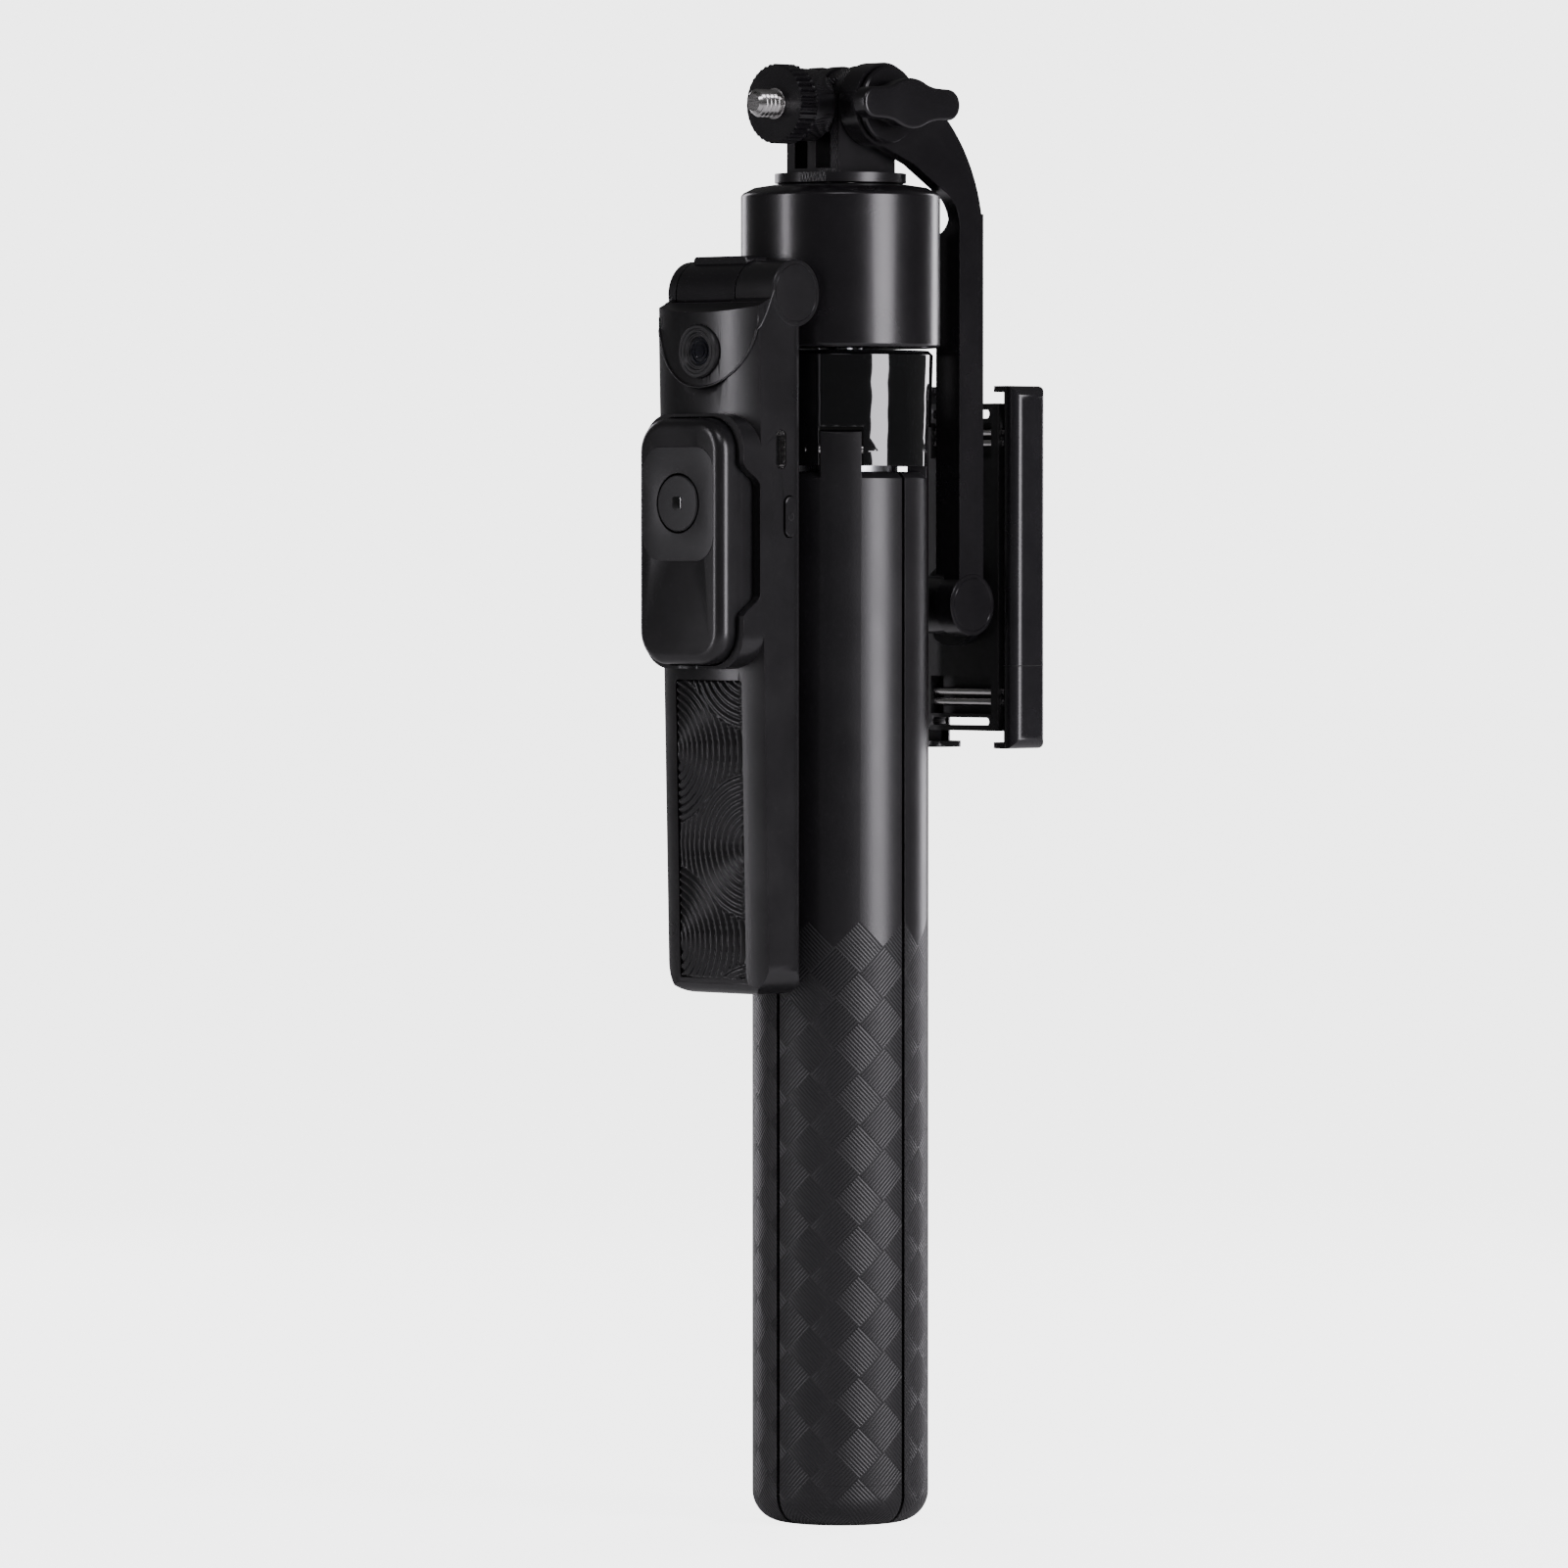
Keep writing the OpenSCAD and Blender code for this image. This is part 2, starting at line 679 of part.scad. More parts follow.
module unit_back_shell() {
    color(soft_black) difference() {
        union() {
            intersection() {
                unit_shell();
                block([-big, big], [unit_seam, 0], [0, big]);
            }
            difference() {
                union() {
                    rod_along_x(unit_barrel_r, bracket_x[1] + knuckle_gap, half_w, barrel_y, barrel_z);
                    rod_along_x(unit_barrel_r, unit_end_x, bracket_x[0] - knuckle_gap, barrel_y, barrel_z);
                }
                rod_along_x(unit_pin_r, -big, big, barrel_y, barrel_z);
            }
        }
        usb_cut();
        slab_x(10, big) power_outline(0.3);
    }
}

module cradle_outline() round_rect(-half_w, cradle_z[0], half_w, cradle_z[1], cradle_corner);

module pad_outline() round_rect(-pad_half, pad_z[0], pad_half, pad_z[1], pad_corner);

// Layer on the curved front, from depth a to depth b under its surface
module front_layer(a, b) {
    translate([0, unit_front + bulge_r, lens_z]) rotate([taper, 0, 0]) difference() {
        translate([0, 0, -big]) cylinder(r = bulge_r - a, h = 2 * big, $fn = 180);
        translate([0, 0, -big - 1]) cylinder(r = bulge_r - b, h = 2 * big + 2, $fn = 180);
    }
}

module unit_front_shell() {
    color(soft_black) difference() {
        intersection() {
            unit_shell();
            block([-big, big], [-big, unit_seam], [0, big]);
        }
        slab_y(-big, cradle_floor[1]) cradle_outline();
        usb_cut();
        intersection() {
            slab_y(-big, unit_seam) pad_outline();
            front_layer(-5, pad_thick);
        }
        // seat of the hood, and the hollow sweep under its lower edge
        difference() {
            slab_y(-big, hood_back) hood_outline();
            unit_form(hood_t);
        }
        intersection() {
            translate([0, unit_front + sweep_depth, hood_z]) rotate([90, 0, 0])
                cylinder(r1 = hood_r - 0.3, r2 = hood_r + 6 * sweep_w, h = 6 * sweep_depth);
            block([-big, big], [-big, hood_back], [0, hood_z]);
        }
        rod_along_y(bezel_r, -big, bezel_seat, 0, lens_z);
        rod_along_y(bezel_r - 1, -big, unit_seam, 0, lens_z);
    }
}

// Plate round the lens, round at its lower edge and let into the front shell
module hood_outline() {
    translate([0, hood_z]) circle(r = hood_r);
    translate([-half_w - 1, hood_z]) square([unit_w + 2, 20]);
}

module camera_hood() {
    color(soft_black) difference() {
        intersection() {
            slab_y(-big, hood_back) hood_outline();
            unit_form(0.1);
        }
        unit_form(hood_t);
        rod_along_y(bezel_r, -big, 0, 0, lens_z);
        rod_along_x(unit_barrel_r + gap, -big, big, barrel_y, barrel_z);
        rod_along_x(lug_sweep + gap, bracket_x[0] - knuckle_gap, bracket_x[1] + knuckle_gap,
                    barrel_y, barrel_z);
    }
}

module lens_bezel() {
    color(deep_black) difference() {
        union() {
            rod_along_y(bezel_r, unit_front - 0.9, bezel_seat, 0, lens_z);
            rod_along_y(bezel_r - 1, bezel_seat, unit_front + 5, 0, lens_z);
        }
        rod_along_y(lens_r, -big, 0, 0, lens_z);
    }
}

module lens_glass() {
    color("#20242c") rod_along_y(lens_r, unit_front - 0.2, unit_front + 5, 0, lens_z);
}

module remote_outline(play) {
    round_rect(-remote_w / 2 - play, remote_low - play, remote_w / 2 + play, remote_low + remote_h + play,
               remote_corner + play);
}

module remote_cradle() {
    color(soft_black) difference() {
        slab_y(cradle_front, cradle_floor[1]) cradle_outline();
        slab_y(-big, cradle_floor[0]) remote_outline(remote_play);
        block([-big, big], [-big, thumb_front], thumb_z);
        block([-3.5, 3.5], [-big, thumb_front], [0, remote_low + 2]);
    }
}

module grip_pad() {
    color(rubber) intersection() {
        slab_y(-big, unit_seam) pad_outline();
        front_layer(0.2, pad_thick);
    }
}

module usb_port() {
    color(steel) difference() {
        slab_x(half_w - usb_size[0] - 0.3, half_w - 0.3)
            round_rect(unit_seam - usb_size[1] / 2, usb_z - usb_size[2] / 2,
                       unit_seam + usb_size[1] / 2, usb_z + usb_size[2] / 2, 1.5);
        slab_x(half_w - usb_size[0] + 1, big)
            round_rect(unit_seam - usb_size[1] / 2 + 0.3, usb_z - usb_size[2] / 2 + 0.3,
                       unit_seam + usb_size[1] / 2 - 0.3, usb_z + usb_size[2] / 2 - 0.3, 1.2);
    }
}

module battery() color("#3a4f7a") block([-12.5, 12.5], [-34, unit_back - unit_wall], [131, 188]);

module circuit_board() color("darkgreen") block([-14.2, 8], [cradle_floor[1], cradle_floor[1] + 1.2], [197, 262]);

module unit_hinge_pin() {
    color(steel) rod_along_x(unit_pin_r, unit_end_x + 0.5, half_w - 0.4, barrel_y, barrel_z);
}

module power_button() {
    color(deep_black) {
        slab_x(half_w - unit_wall - 1.2, half_w + 0.5) power_outline(0);
        slab_x(half_w - unit_wall - 1.3, half_w - unit_wall - 0.3) power_outline(0.5);
    }
}

// ---------------------------------------------------------------- remote control

module remote_body() {
    color(soft_black) difference() {
        slab_y(remote_split, remote_back) remote_outline(0);
        rod_along_y(10, -big, remote_split + 3.4, 0, shutter_z - 14);
    }
}

module remote_face() {
    color(deep_black) difference() {
        slab_y(remote_front, remote_split) remote_outline(0);
        rod_along_y(shutter_r + 0.3, -big, remote_split - 1.5, 0, shutter_z);
        // hollow round the well of the button
        difference() {
            slab_y(remote_front + remote_wall, remote_split) remote_outline(-remote_wall);
            rod_along_y(shutter_r + remote_wall, -big, 0, 0, shutter_z);
        }
    }
}

module remote_button() {
    color(rubber) rod_along_y(shutter_r, remote_front - 0.8, remote_split - 2.2, 0, shutter_z);
}

module coin_cell() color(steel) rod_along_y(10, remote_split, remote_split + 3.2, 0, shutter_z - 14);

// ---------------------------------------------------------------- drawing

leg_hub();
base_tube();
base_plug();
leg_hinge_pins();
leg(3);  // leg_front_right
leg(0);  // leg_back_right
leg(1);  // leg_back_left
leg(2);  // leg_front_left
foot(3);  // foot_front_right
foot(0);  // foot_back_right
foot(1);  // foot_back_left
foot(2);  // foot_front_left
moving_tube(1);  // tube_1
moving_tube(2);  // tube_2
moving_tube(3);  // tube_3
moving_tube(4);  // tube_4
moving_tube(5);  // tube_5
bush(1);  // bush_1
bush(2);  // bush_2
bush(3);  // bush_3
bush(4);  // bush_4
bush(5);  // bush_5
head_floor();
head_shell();
pan_motor();
unit_bracket();
yoke();
pan_spindle();
pivot_nut();
stud_block();
camera_stud();
lock_wheel();
wing_knob();
pivot_bolt();
phone_arm();
clamp_pivot_pin();
clamp_knuckle();
clamp_spin_screw();
clamp_frame();
clamp_springs();
jaw(1, rods_right, rods_left);  // jaw_right
jaw(-1, rods_left, rods_right);  // jaw_left
jaw_rods(1, rods_right);  // jaw_rods_right
jaw_rods(-1, rods_left);  // jaw_rods_left
unit_back_shell();
unit_front_shell();
camera_hood();
lens_bezel();
lens_glass();
remote_cradle();
grip_pad();
usb_port();
battery();
circuit_board();
unit_hinge_pin();
power_button();
remote_body();
remote_face();
remote_button();
coin_cell();
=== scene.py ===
import json
import math

import bmesh
import bpy
from mathutils import Matrix, Vector


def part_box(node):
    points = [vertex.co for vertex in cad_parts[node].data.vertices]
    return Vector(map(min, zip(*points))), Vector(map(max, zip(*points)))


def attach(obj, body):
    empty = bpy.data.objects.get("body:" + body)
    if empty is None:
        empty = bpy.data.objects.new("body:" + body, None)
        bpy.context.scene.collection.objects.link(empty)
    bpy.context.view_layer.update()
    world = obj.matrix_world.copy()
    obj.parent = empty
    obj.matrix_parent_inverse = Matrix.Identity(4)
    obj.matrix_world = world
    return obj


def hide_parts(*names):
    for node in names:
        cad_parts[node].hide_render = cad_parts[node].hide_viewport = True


# Looks of a folded selfie stick. The frame gives every place and size; lengths here are in metres.

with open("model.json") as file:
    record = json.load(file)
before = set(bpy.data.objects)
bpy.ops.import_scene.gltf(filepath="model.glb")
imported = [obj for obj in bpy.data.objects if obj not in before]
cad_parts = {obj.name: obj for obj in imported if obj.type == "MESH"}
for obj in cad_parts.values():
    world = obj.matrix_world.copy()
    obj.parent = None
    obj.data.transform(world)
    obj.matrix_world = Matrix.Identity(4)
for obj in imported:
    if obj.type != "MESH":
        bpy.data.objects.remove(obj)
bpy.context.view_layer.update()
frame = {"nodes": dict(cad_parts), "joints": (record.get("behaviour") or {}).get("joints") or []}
nodes = frame["nodes"]
MM = 0.001
X_WAY = Vector((1, 0, 0))
FRONT = Vector((0, -1, 0))
SAME_PLACE = 1e-6           # points closer than this are one point
SHARP = math.radians(30)    # edges sharper than this can be rounded


# ---------------------------------------------------------------- small helpers

def mid(node):
    """Middle of a node's box."""
    low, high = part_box(node)
    return (low + high) / 2


def joint_place(name):
    """The point that a joint turns about."""
    for joint in frame["joints"]:
        if joint["name"] == name:
            return Vector(joint["pos_m"])


def piece_from(bm, name, body, material, smooth=40):
    """Turns a bmesh into a finished piece that rides on a body."""
    bmesh.ops.remove_doubles(bm, verts=bm.verts, dist=SAME_PLACE)
    bmesh.ops.recalc_face_normals(bm, faces=bm.faces)
    mesh = bpy.data.meshes.new(name)
    bm.to_mesh(mesh)
    bm.free()
    mesh.set_sharp_from_angle(angle=math.radians(smooth))
    for face in mesh.polygons:
        face.use_smooth = True
    piece = bpy.data.objects.new(name, mesh)
    bpy.context.collection.objects.link(piece)
    piece.data.materials.append(material)
    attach(piece, body)
    return piece


def outline(bm, corners, radii, place, segments=8):
    """A flat face from corner points, each corner rounded by its own radius."""
    points = [bm.verts.new(place(*corner)) for corner in corners]
    bm.faces.new(points)
    for radius in sorted(set(radii)):
        if radius:
            picked = [point for point, own in zip(points, radii) if own == radius]
            bmesh.ops.bevel(bm, geom=picked, offset=radius, offset_type="OFFSET", segments=segments,
                            profile=0.5, affect="VERTICES", material=-1)


def box_corners(half_width, low, high):
    """Corners of a box that is even about the middle line."""
    return [(-half_width, low), (half_width, low), (half_width, high), (-half_width, high)]


def thicken(bm, offset):
    """Extrudes the flat faces along an offset into a closed slab."""
    made = bmesh.ops.extrude_face_region(bm, geom=bm.faces[:], use_keep_orig=True)
    moved = [item for item in made["geom"] if isinstance(item, bmesh.types.BMVert)]
    bmesh.ops.translate(bm, vec=offset, verts=moved)


def round_rim(bm, width, segments, picked):
    """Bevels the sharp edges that the test picks by their two end points."""
    bmesh.ops.remove_doubles(bm, verts=bm.verts, dist=SAME_PLACE)
    bmesh.ops.recalc_face_normals(bm, faces=bm.faces)
    edges = [edge for edge in bm.edges
             if len(edge.link_faces) == 2 and edge.calc_face_angle(0) > SHARP
             and picked(edge.verts[0].co) and picked(edge.verts[1].co)]
    bmesh.ops.bevel(bm, geom=edges, offset=width, offset_type="OFFSET", segments=segments,
                    profile=0.5, affect="EDGES", clamp_overlap=True, material=-1)


def turn(bm, profile, centre, axis, steps=96, angle=math.tau, climb=0.0):
    """Spins a profile of (radius, distance along the axis) points round an axis, climbing a little
    at each step for a thread."""
    across = axis.orthogonal().normalized()
    verts = [bm.verts.new(centre + across * r + axis * t) for r, t in profile]
    edges = [bm.edges.new(pair) for pair in zip(verts, verts[1:])]
    bmesh.ops.spin(bm, geom=verts + edges, cent=centre, axis=axis, dvec=axis * climb, angle=angle,
                   steps=steps, use_merge=angle == math.tau and not climb)


def slice_across(bm, places, normal):
    """Cuts the faces along the planes through the places, so that they can be bent."""
    for place in places:
        bmesh.ops.bisect_plane(bm, geom=bm.verts[:] + bm.edges[:] + bm.faces[:], dist=1e-7,
                               plane_co=place, plane_no=normal)


def take_in(bm, other):
    """Adds another bmesh to a bmesh, and frees it."""
    holder = bpy.data.meshes.new("taken_in")
    other.to_mesh(holder)
    other.free()
    bm.from_mesh(holder)
    bpy.data.meshes.remove(holder)


def ease(value):
    """A smooth step from 0 to 1."""
    value = min(1, max(0, value))
    return value * value * (3 - 2 * value)


def soften(node, width):
    """Rounds the edges of a CAD node and smooths its curved faces."""
    part = nodes[node]
    for face in part.data.polygons:
        face.use_smooth = True
    weld = part.modifiers.new("join_faces", "WELD")
    weld.merge_threshold = 2e-6
    if width:
        bevel = part.modifiers.new("soft_edge", "BEVEL")
        bevel.width = width
        bevel.segments = 2
        bevel.limit_method = "ANGLE"
        bevel.angle_limit = math.radians(32)
        bevel.miter_outer = "MITER_ARC"
        bevel.harden_normals = True
    normals = part.modifiers.new("even_shading", "WEIGHTED_NORMAL")
    normals.keep_sharp = True
    normals.weight = 80


def paint(node, material):
    """Gives a CAD node one material."""
    part = nodes[node]
    part.data.materials.clear()
    part.data.materials.append(material)


# ---------------------------------------------------------------- shader groups

def new_group(name, inputs, outputs):
    """A shader node group with plain number sockets. Returns it with its input and output nodes."""
    group = bpy.data.node_groups.new(name, "ShaderNodeTree")
    for label, value in inputs:
        socket = group.interface.new_socket(label, in_out="INPUT", socket_type="NodeSocketFloat")
        socket.default_value = value
    for label in outputs:
        group.interface.new_socket(label, in_out="OUTPUT", socket_type="NodeSocketFloat")
    return group, group.nodes.new("NodeGroupInput"), group.nodes.new("NodeGroupOutput")


def maths(tree, operation, first, second=None, clamp=False):
    """A Math node. Each operand is a socket or a number."""
    node = tree.nodes.new("ShaderNodeMath")
    node.operation = operation
    node.use_clamp = clamp
    for slot, value in enumerate((first, second)):
        if value is None:
            continue
        if isinstance(value, (int, float)):
            node.inputs[slot].default_value = value
        else:
            tree.links.new(value, node.inputs[slot])
    return node.outputs[0]


def noise(tree, vector, scale, detail):
    """Noise at a place. The scale is a socket or a number."""
    node = tree.nodes.new("ShaderNodeTexNoise")
    node.inputs["Detail"].default_value = detail
    tree.links.new(vector, node.inputs["Vector"])
    if isinstance(scale, (int, float)):
        node.inputs["Scale"].default_value = scale
    else:
        tree.links.new(scale, node.inputs["Scale"])
    return node.outputs["Fac"]


SPECK_LEVEL, SPECK_GAIN = 0.68, 5.0
RUB_SCALE = 35.0
HANDLE_RADIUS = 20 * MM
GROOVES_PER_PATCH = 11
HATCH_RADIUS = 9 * MM       # radius that the crossed lines run round at
HATCH_COUNT = 1400          # lines for each metre


def make_moulded_skin():
    """Fine texture of moulded plastic: a height for the bump and a slow mottle for the finish."""
    tree, source, sink = new_group(
        "moulded_skin", [("Grain Scale", 4000.0), ("Mottle Scale", 60.0)], ["Height", "Mottle"]
    )
    place = tree.nodes.new("ShaderNodeTexCoord").outputs["Object"]
    fine = noise(tree, place, source.outputs["Grain Scale"], 2.0)
    slow = noise(tree, place, source.outputs["Mottle Scale"], 4.0)
    tree.links.new(fine, sink.inputs["Height"])
    tree.links.new(slow, sink.inputs["Mottle"])
    return tree


def make_handled_dust():
    """Sparse specks of dust and faint rubbed patches, as a mask."""
    tree, source, sink = new_group("handled_dust", [("Speck Scale", 900.0), ("Amount", 0.5)], ["Mask"])
    place = tree.nodes.new("ShaderNodeTexCoord").outputs["Object"]
    specks = noise(tree, place, source.outputs["Speck Scale"], 1.0)
    sparse = maths(tree, "SUBTRACT", specks, SPECK_LEVEL, clamp=True)
    strong = maths(tree, "MULTIPLY", sparse, SPECK_GAIN, clamp=True)
    patches = noise(tree, place, RUB_SCALE, 3.0)
    worn = maths(tree, "MULTIPLY", strong, patches)
    tree.links.new(maths(tree, "MULTIPLY", worn, source.outputs["Amount"]), sink.inputs["Mask"])
    return tree


def wave(tree, value, count):
    """A 0 to 1 cosine wave that repeats count times for each unit of the value."""
    swing = maths(tree, "COSINE", maths(tree, "MULTIPLY", value, math.tau * count))
    return maths(tree, "ADD", maths(tree, "MULTIPLY", swing, 0.5), 0.5)


def make_basket_grooves():
    """Diagonal patches of fine grooves round the pole axis, up to a height, and a mask of them, which the
    material uses to paint shade into the grooves.
    """
    tree, source, sink = new_group(
        "basket_grooves", [("Patch Size", 0.00807), ("Top", 0.135)], ["Height", "Mask"]
    )
    parts = tree.nodes.new("ShaderNodeSeparateXYZ")
    tree.links.new(tree.nodes.new("ShaderNodeTexCoord").outputs["Object"], parts.inputs[0])
    x, y, z = parts.outputs
    girth = maths(tree, "MULTIPLY", maths(tree, "ARCTAN2", y, x), HANDLE_RADIUS)
    step = maths(tree, "MULTIPLY", source.outputs["Patch Size"], math.sqrt(2))
    rising = maths(tree, "DIVIDE", maths(tree, "ADD", girth, z), step)
    falling = maths(tree, "DIVIDE", maths(tree, "SUBTRACT", girth, z), step)
    row = maths(tree, "FLOOR", rising)
    column = maths(tree, "FLOOR", falling)
    parity = maths(tree, "FLOORED_MODULO", maths(tree, "ADD", row, column), 2.0)
    one_way = maths(tree, "MULTIPLY", wave(tree, rising, GROOVES_PER_PATCH), parity)
    other_way = maths(tree, "MULTIPLY", wave(tree, falling, GROOVES_PER_PATCH),
                      maths(tree, "SUBTRACT", 1.0, parity))
    ridge = maths(tree, "POWER", maths(tree, "ADD", one_way, other_way), 0.6)
    patch_height = maths(tree, "MULTIPLY", maths(tree, "SUBTRACT", row, column), step)
    patch_height = maths(tree, "MULTIPLY", patch_height, 0.5)
    mask = maths(tree, "LESS_THAN", patch_height, source.outputs["Top"])
    # The mask is strongest in the groove bottoms; the leg's material paints them darker there, as painted
    # shade.
    sunk = maths(tree, "SUBTRACT", 1.0, ridge)
    grooved = maths(tree, "MULTIPLY", sunk, mask)
    tree.links.new(maths(tree, "SUBTRACT", 1.0, grooved), sink.inputs["Height"])
    tree.links.new(grooved, sink.inputs["Mask"])
    return tree


def make_crosshatch():
    """Fine crossed lines round the hinge axis, between two places along it."""
    tree, source, sink = new_group(
        "crosshatch", [("From", 0.0019), ("To", 0.0079), ("Hinge Height", 0.321)], ["Height"]
    )
    parts = tree.nodes.new("ShaderNodeSeparateXYZ")
    tree.links.new(tree.nodes.new("ShaderNodeTexCoord").outputs["Object"], parts.inputs[0])
    x, y, z = parts.outputs
    up = maths(tree, "SUBTRACT", z, source.outputs["Hinge Height"])
    girth = maths(tree, "MULTIPLY", maths(tree, "ARCTAN2", up, y), HATCH_RADIUS)
    one_way = wave(tree, maths(tree, "ADD", girth, x), HATCH_COUNT)
    other_way = wave(tree, maths(tree, "SUBTRACT", girth, x), HATCH_COUNT)
    lines = maths(tree, "MULTIPLY", one_way, other_way)
    inside = maths(tree, "MULTIPLY", maths(tree, "GREATER_THAN", x, source.outputs["From"]),
                   maths(tree, "LESS_THAN", x, source.outputs["To"]))
    tree.links.new(maths(tree, "MULTIPLY", lines, inside), sink.inputs["Height"])
    return tree


def make_level_seam():
    """A thin level seam at one height, as a mask; the material paints it darker there, as painted shade in
    the seam.
    """
    tree, source, sink = new_group("level_seam", [("Seam Height", 0.194), ("Half Width", 0.00013)], ["Mask"])
    parts = tree.nodes.new("ShaderNodeSeparateXYZ")
    tree.links.new(tree.nodes.new("ShaderNodeTexCoord").outputs["Object"], parts.inputs[0])
    away = maths(tree, "SUBTRACT", parts.outputs[2], source.outputs["Seam Height"])
    near = maths(tree, "LESS_THAN", maths(tree, "ABSOLUTE", away), source.outputs["Half Width"])
    tree.links.new(near, sink.inputs["Mask"])
    return tree


GROUPS = {
    "moulded_skin": make_moulded_skin(),
    "handled_dust": make_handled_dust(),
    "basket_grooves": make_basket_grooves(),
    "crosshatch": make_crosshatch(),
    "level_seam": make_level_seam(),
}


def add_group(tree, name, **values):
    """A copy of a group in a material, with its named values set."""
    node = tree.nodes.new("ShaderNodeGroup")
    node.node_tree = GROUPS[name]
    for label, value in values.items():
        node.inputs[label.replace("_", " ")].default_value = value
    return node


# ---------------------------------------------------------------- materials

DUST_COLOUR = (0.12, 0.118, 0.115)


def blank(name, colour, roughness, metallic=0.0):
    """A new material with its Principled shader."""
    material = bpy.data.materials.new(name)
    material.use_nodes = True
    shader = material.node_tree.nodes["Principled BSDF"]
    shader.inputs["Base Color"].default_value = (*colour, 1)
    shader.inputs["Roughness"].default_value = roughness
    shader.inputs["Metallic"].default_value = metallic
    return material, material.node_tree, shader


def ramp(tree, factor, low, high, start=0.3, end=0.7):
    """Maps a 0 to 1 value onto a span of numbers."""
    node = tree.nodes.new("ShaderNodeMapRange")
    node.inputs["From Min"].default_value = start
    node.inputs["From Max"].default_value = end
    node.inputs["To Min"].default_value = low
    node.inputs["To Max"].default_value = high
    tree.links.new(factor, node.inputs["Value"])
    return node.outputs["Result"]


def tint(tree, factor, first, second):
    """Mixes two colours by a value. The first is a colour or a socket."""
    node = tree.nodes.new("ShaderNodeMix")
    node.data_type = "RGBA"
    node.inputs["B"].default_value = (*second, 1)
    tree.links.new(factor, node.inputs["Factor"])
    if isinstance(first, tuple):
        node.inputs["A"].default_value = (*first, 1)
    else:
        tree.links.new(first, node.inputs["A"])
    return node.outputs["Result"]


def bump(tree, shader, height, distance):
    """Joins a height to a shader's normal."""
    node = tree.nodes.new("ShaderNodeBump")
    node.inputs["Distance"].default_value = distance
    node.inputs["Strength"].default_value = 1.0
    tree.links.new(height, node.inputs["Height"])
    tree.links.new(node.outputs["Normal"], shader.inputs["Normal"])
    return node


def moulded(name, dark, light, smooth, rough, grain_depth, grain_scale=4000.0, dust=0.15, pattern=None):
    """Moulded plastic or rubber: mottled colour and gloss, fine grain, a little dust. A pattern group may
    add a height of its own, with its depth, and a second colour where its mask is: here a darker colour,
    painted shade in grooves and a seam."""
    material, tree, shader = blank(name, dark, smooth)
    skin = add_group(tree, "moulded_skin", Grain_Scale=grain_scale)
    specks = add_group(tree, "handled_dust", Amount=dust)
    colour = tint(tree, ramp(tree, skin.outputs["Mottle"], 0, 1), dark, light)
    finish = ramp(tree, skin.outputs["Mottle"], smooth, rough)
    height = maths(tree, "MULTIPLY", skin.outputs["Height"], grain_depth / MM)
    if pattern:
        group, depth, masked_colour, masked_gloss = pattern
        extra = add_group(tree, group)
        if "Height" in extra.outputs:
            height = maths(tree, "ADD", height, maths(tree, "MULTIPLY", extra.outputs["Height"], depth / MM))
        if "Mask" in extra.outputs:
            # Painted shade: the pattern's darker colour where its mask is.
            colour = tint(tree, extra.outputs["Mask"], colour, masked_colour)
            finish = maths(tree, "ADD", finish, maths(tree, "MULTIPLY", extra.outputs["Mask"], masked_gloss))
            if "Height" not in extra.outputs:
                height = maths(tree, "SUBTRACT", height,
                               maths(tree, "MULTIPLY", extra.outputs["Mask"], depth / MM))
    colour = tint(tree, specks.outputs["Mask"], colour, DUST_COLOUR)
    tree.links.new(colour, shader.inputs["Base Color"])
    tree.links.new(finish, shader.inputs["Roughness"])
    bump(tree, shader, height, MM)
    return material


def metal(name, colour, smooth, rough, grain_scale=(400.0, 400.0, 6000.0)):
    """Bare metal with fine turning or drawing lines."""
    material, tree, shader = blank(name, colour, smooth, 1.0)
    place = tree.nodes.new("ShaderNodeTexCoord").outputs["Object"]
    stretch = tree.nodes.new("ShaderNodeMapping")
    stretch.inputs["Scale"].default_value = grain_scale
    tree.links.new(place, stretch.inputs["Vector"])
    lines = noise(tree, stretch.outputs["Vector"], 1.0, 2.0)
    shade = tint(tree, ramp(tree, lines, 0, 1), tuple(0.8 * c for c in colour), colour)
    tree.links.new(shade, shader.inputs["Base Color"])
    tree.links.new(ramp(tree, lines, smooth, rough), shader.inputs["Roughness"])
    bump(tree, shader, lines, 0.01 * MM)
    return material


BLACK, BLACK_MOTTLE = (0.0058, 0.0052, 0.0062), (0.0080, 0.0074, 0.0084)
# The grooves get a darker colour in them, painted shade; their depth is a bump.
GROOVES_WITH_PAINTED_SHADE = ("basket_grooves", 0.08 * MM, (0.0030, 0.0030, 0.0034), 0.34)
HATCHING = ("crosshatch", 0.14 * MM, None, 0)
# The seam gets a darker colour, painted shade of its groove; its depth is a bump.
SEAM_WITH_PAINTED_SHADE = ("level_seam", 0.15 * MM, (0.0015, 0.0015, 0.0015), 0.3)

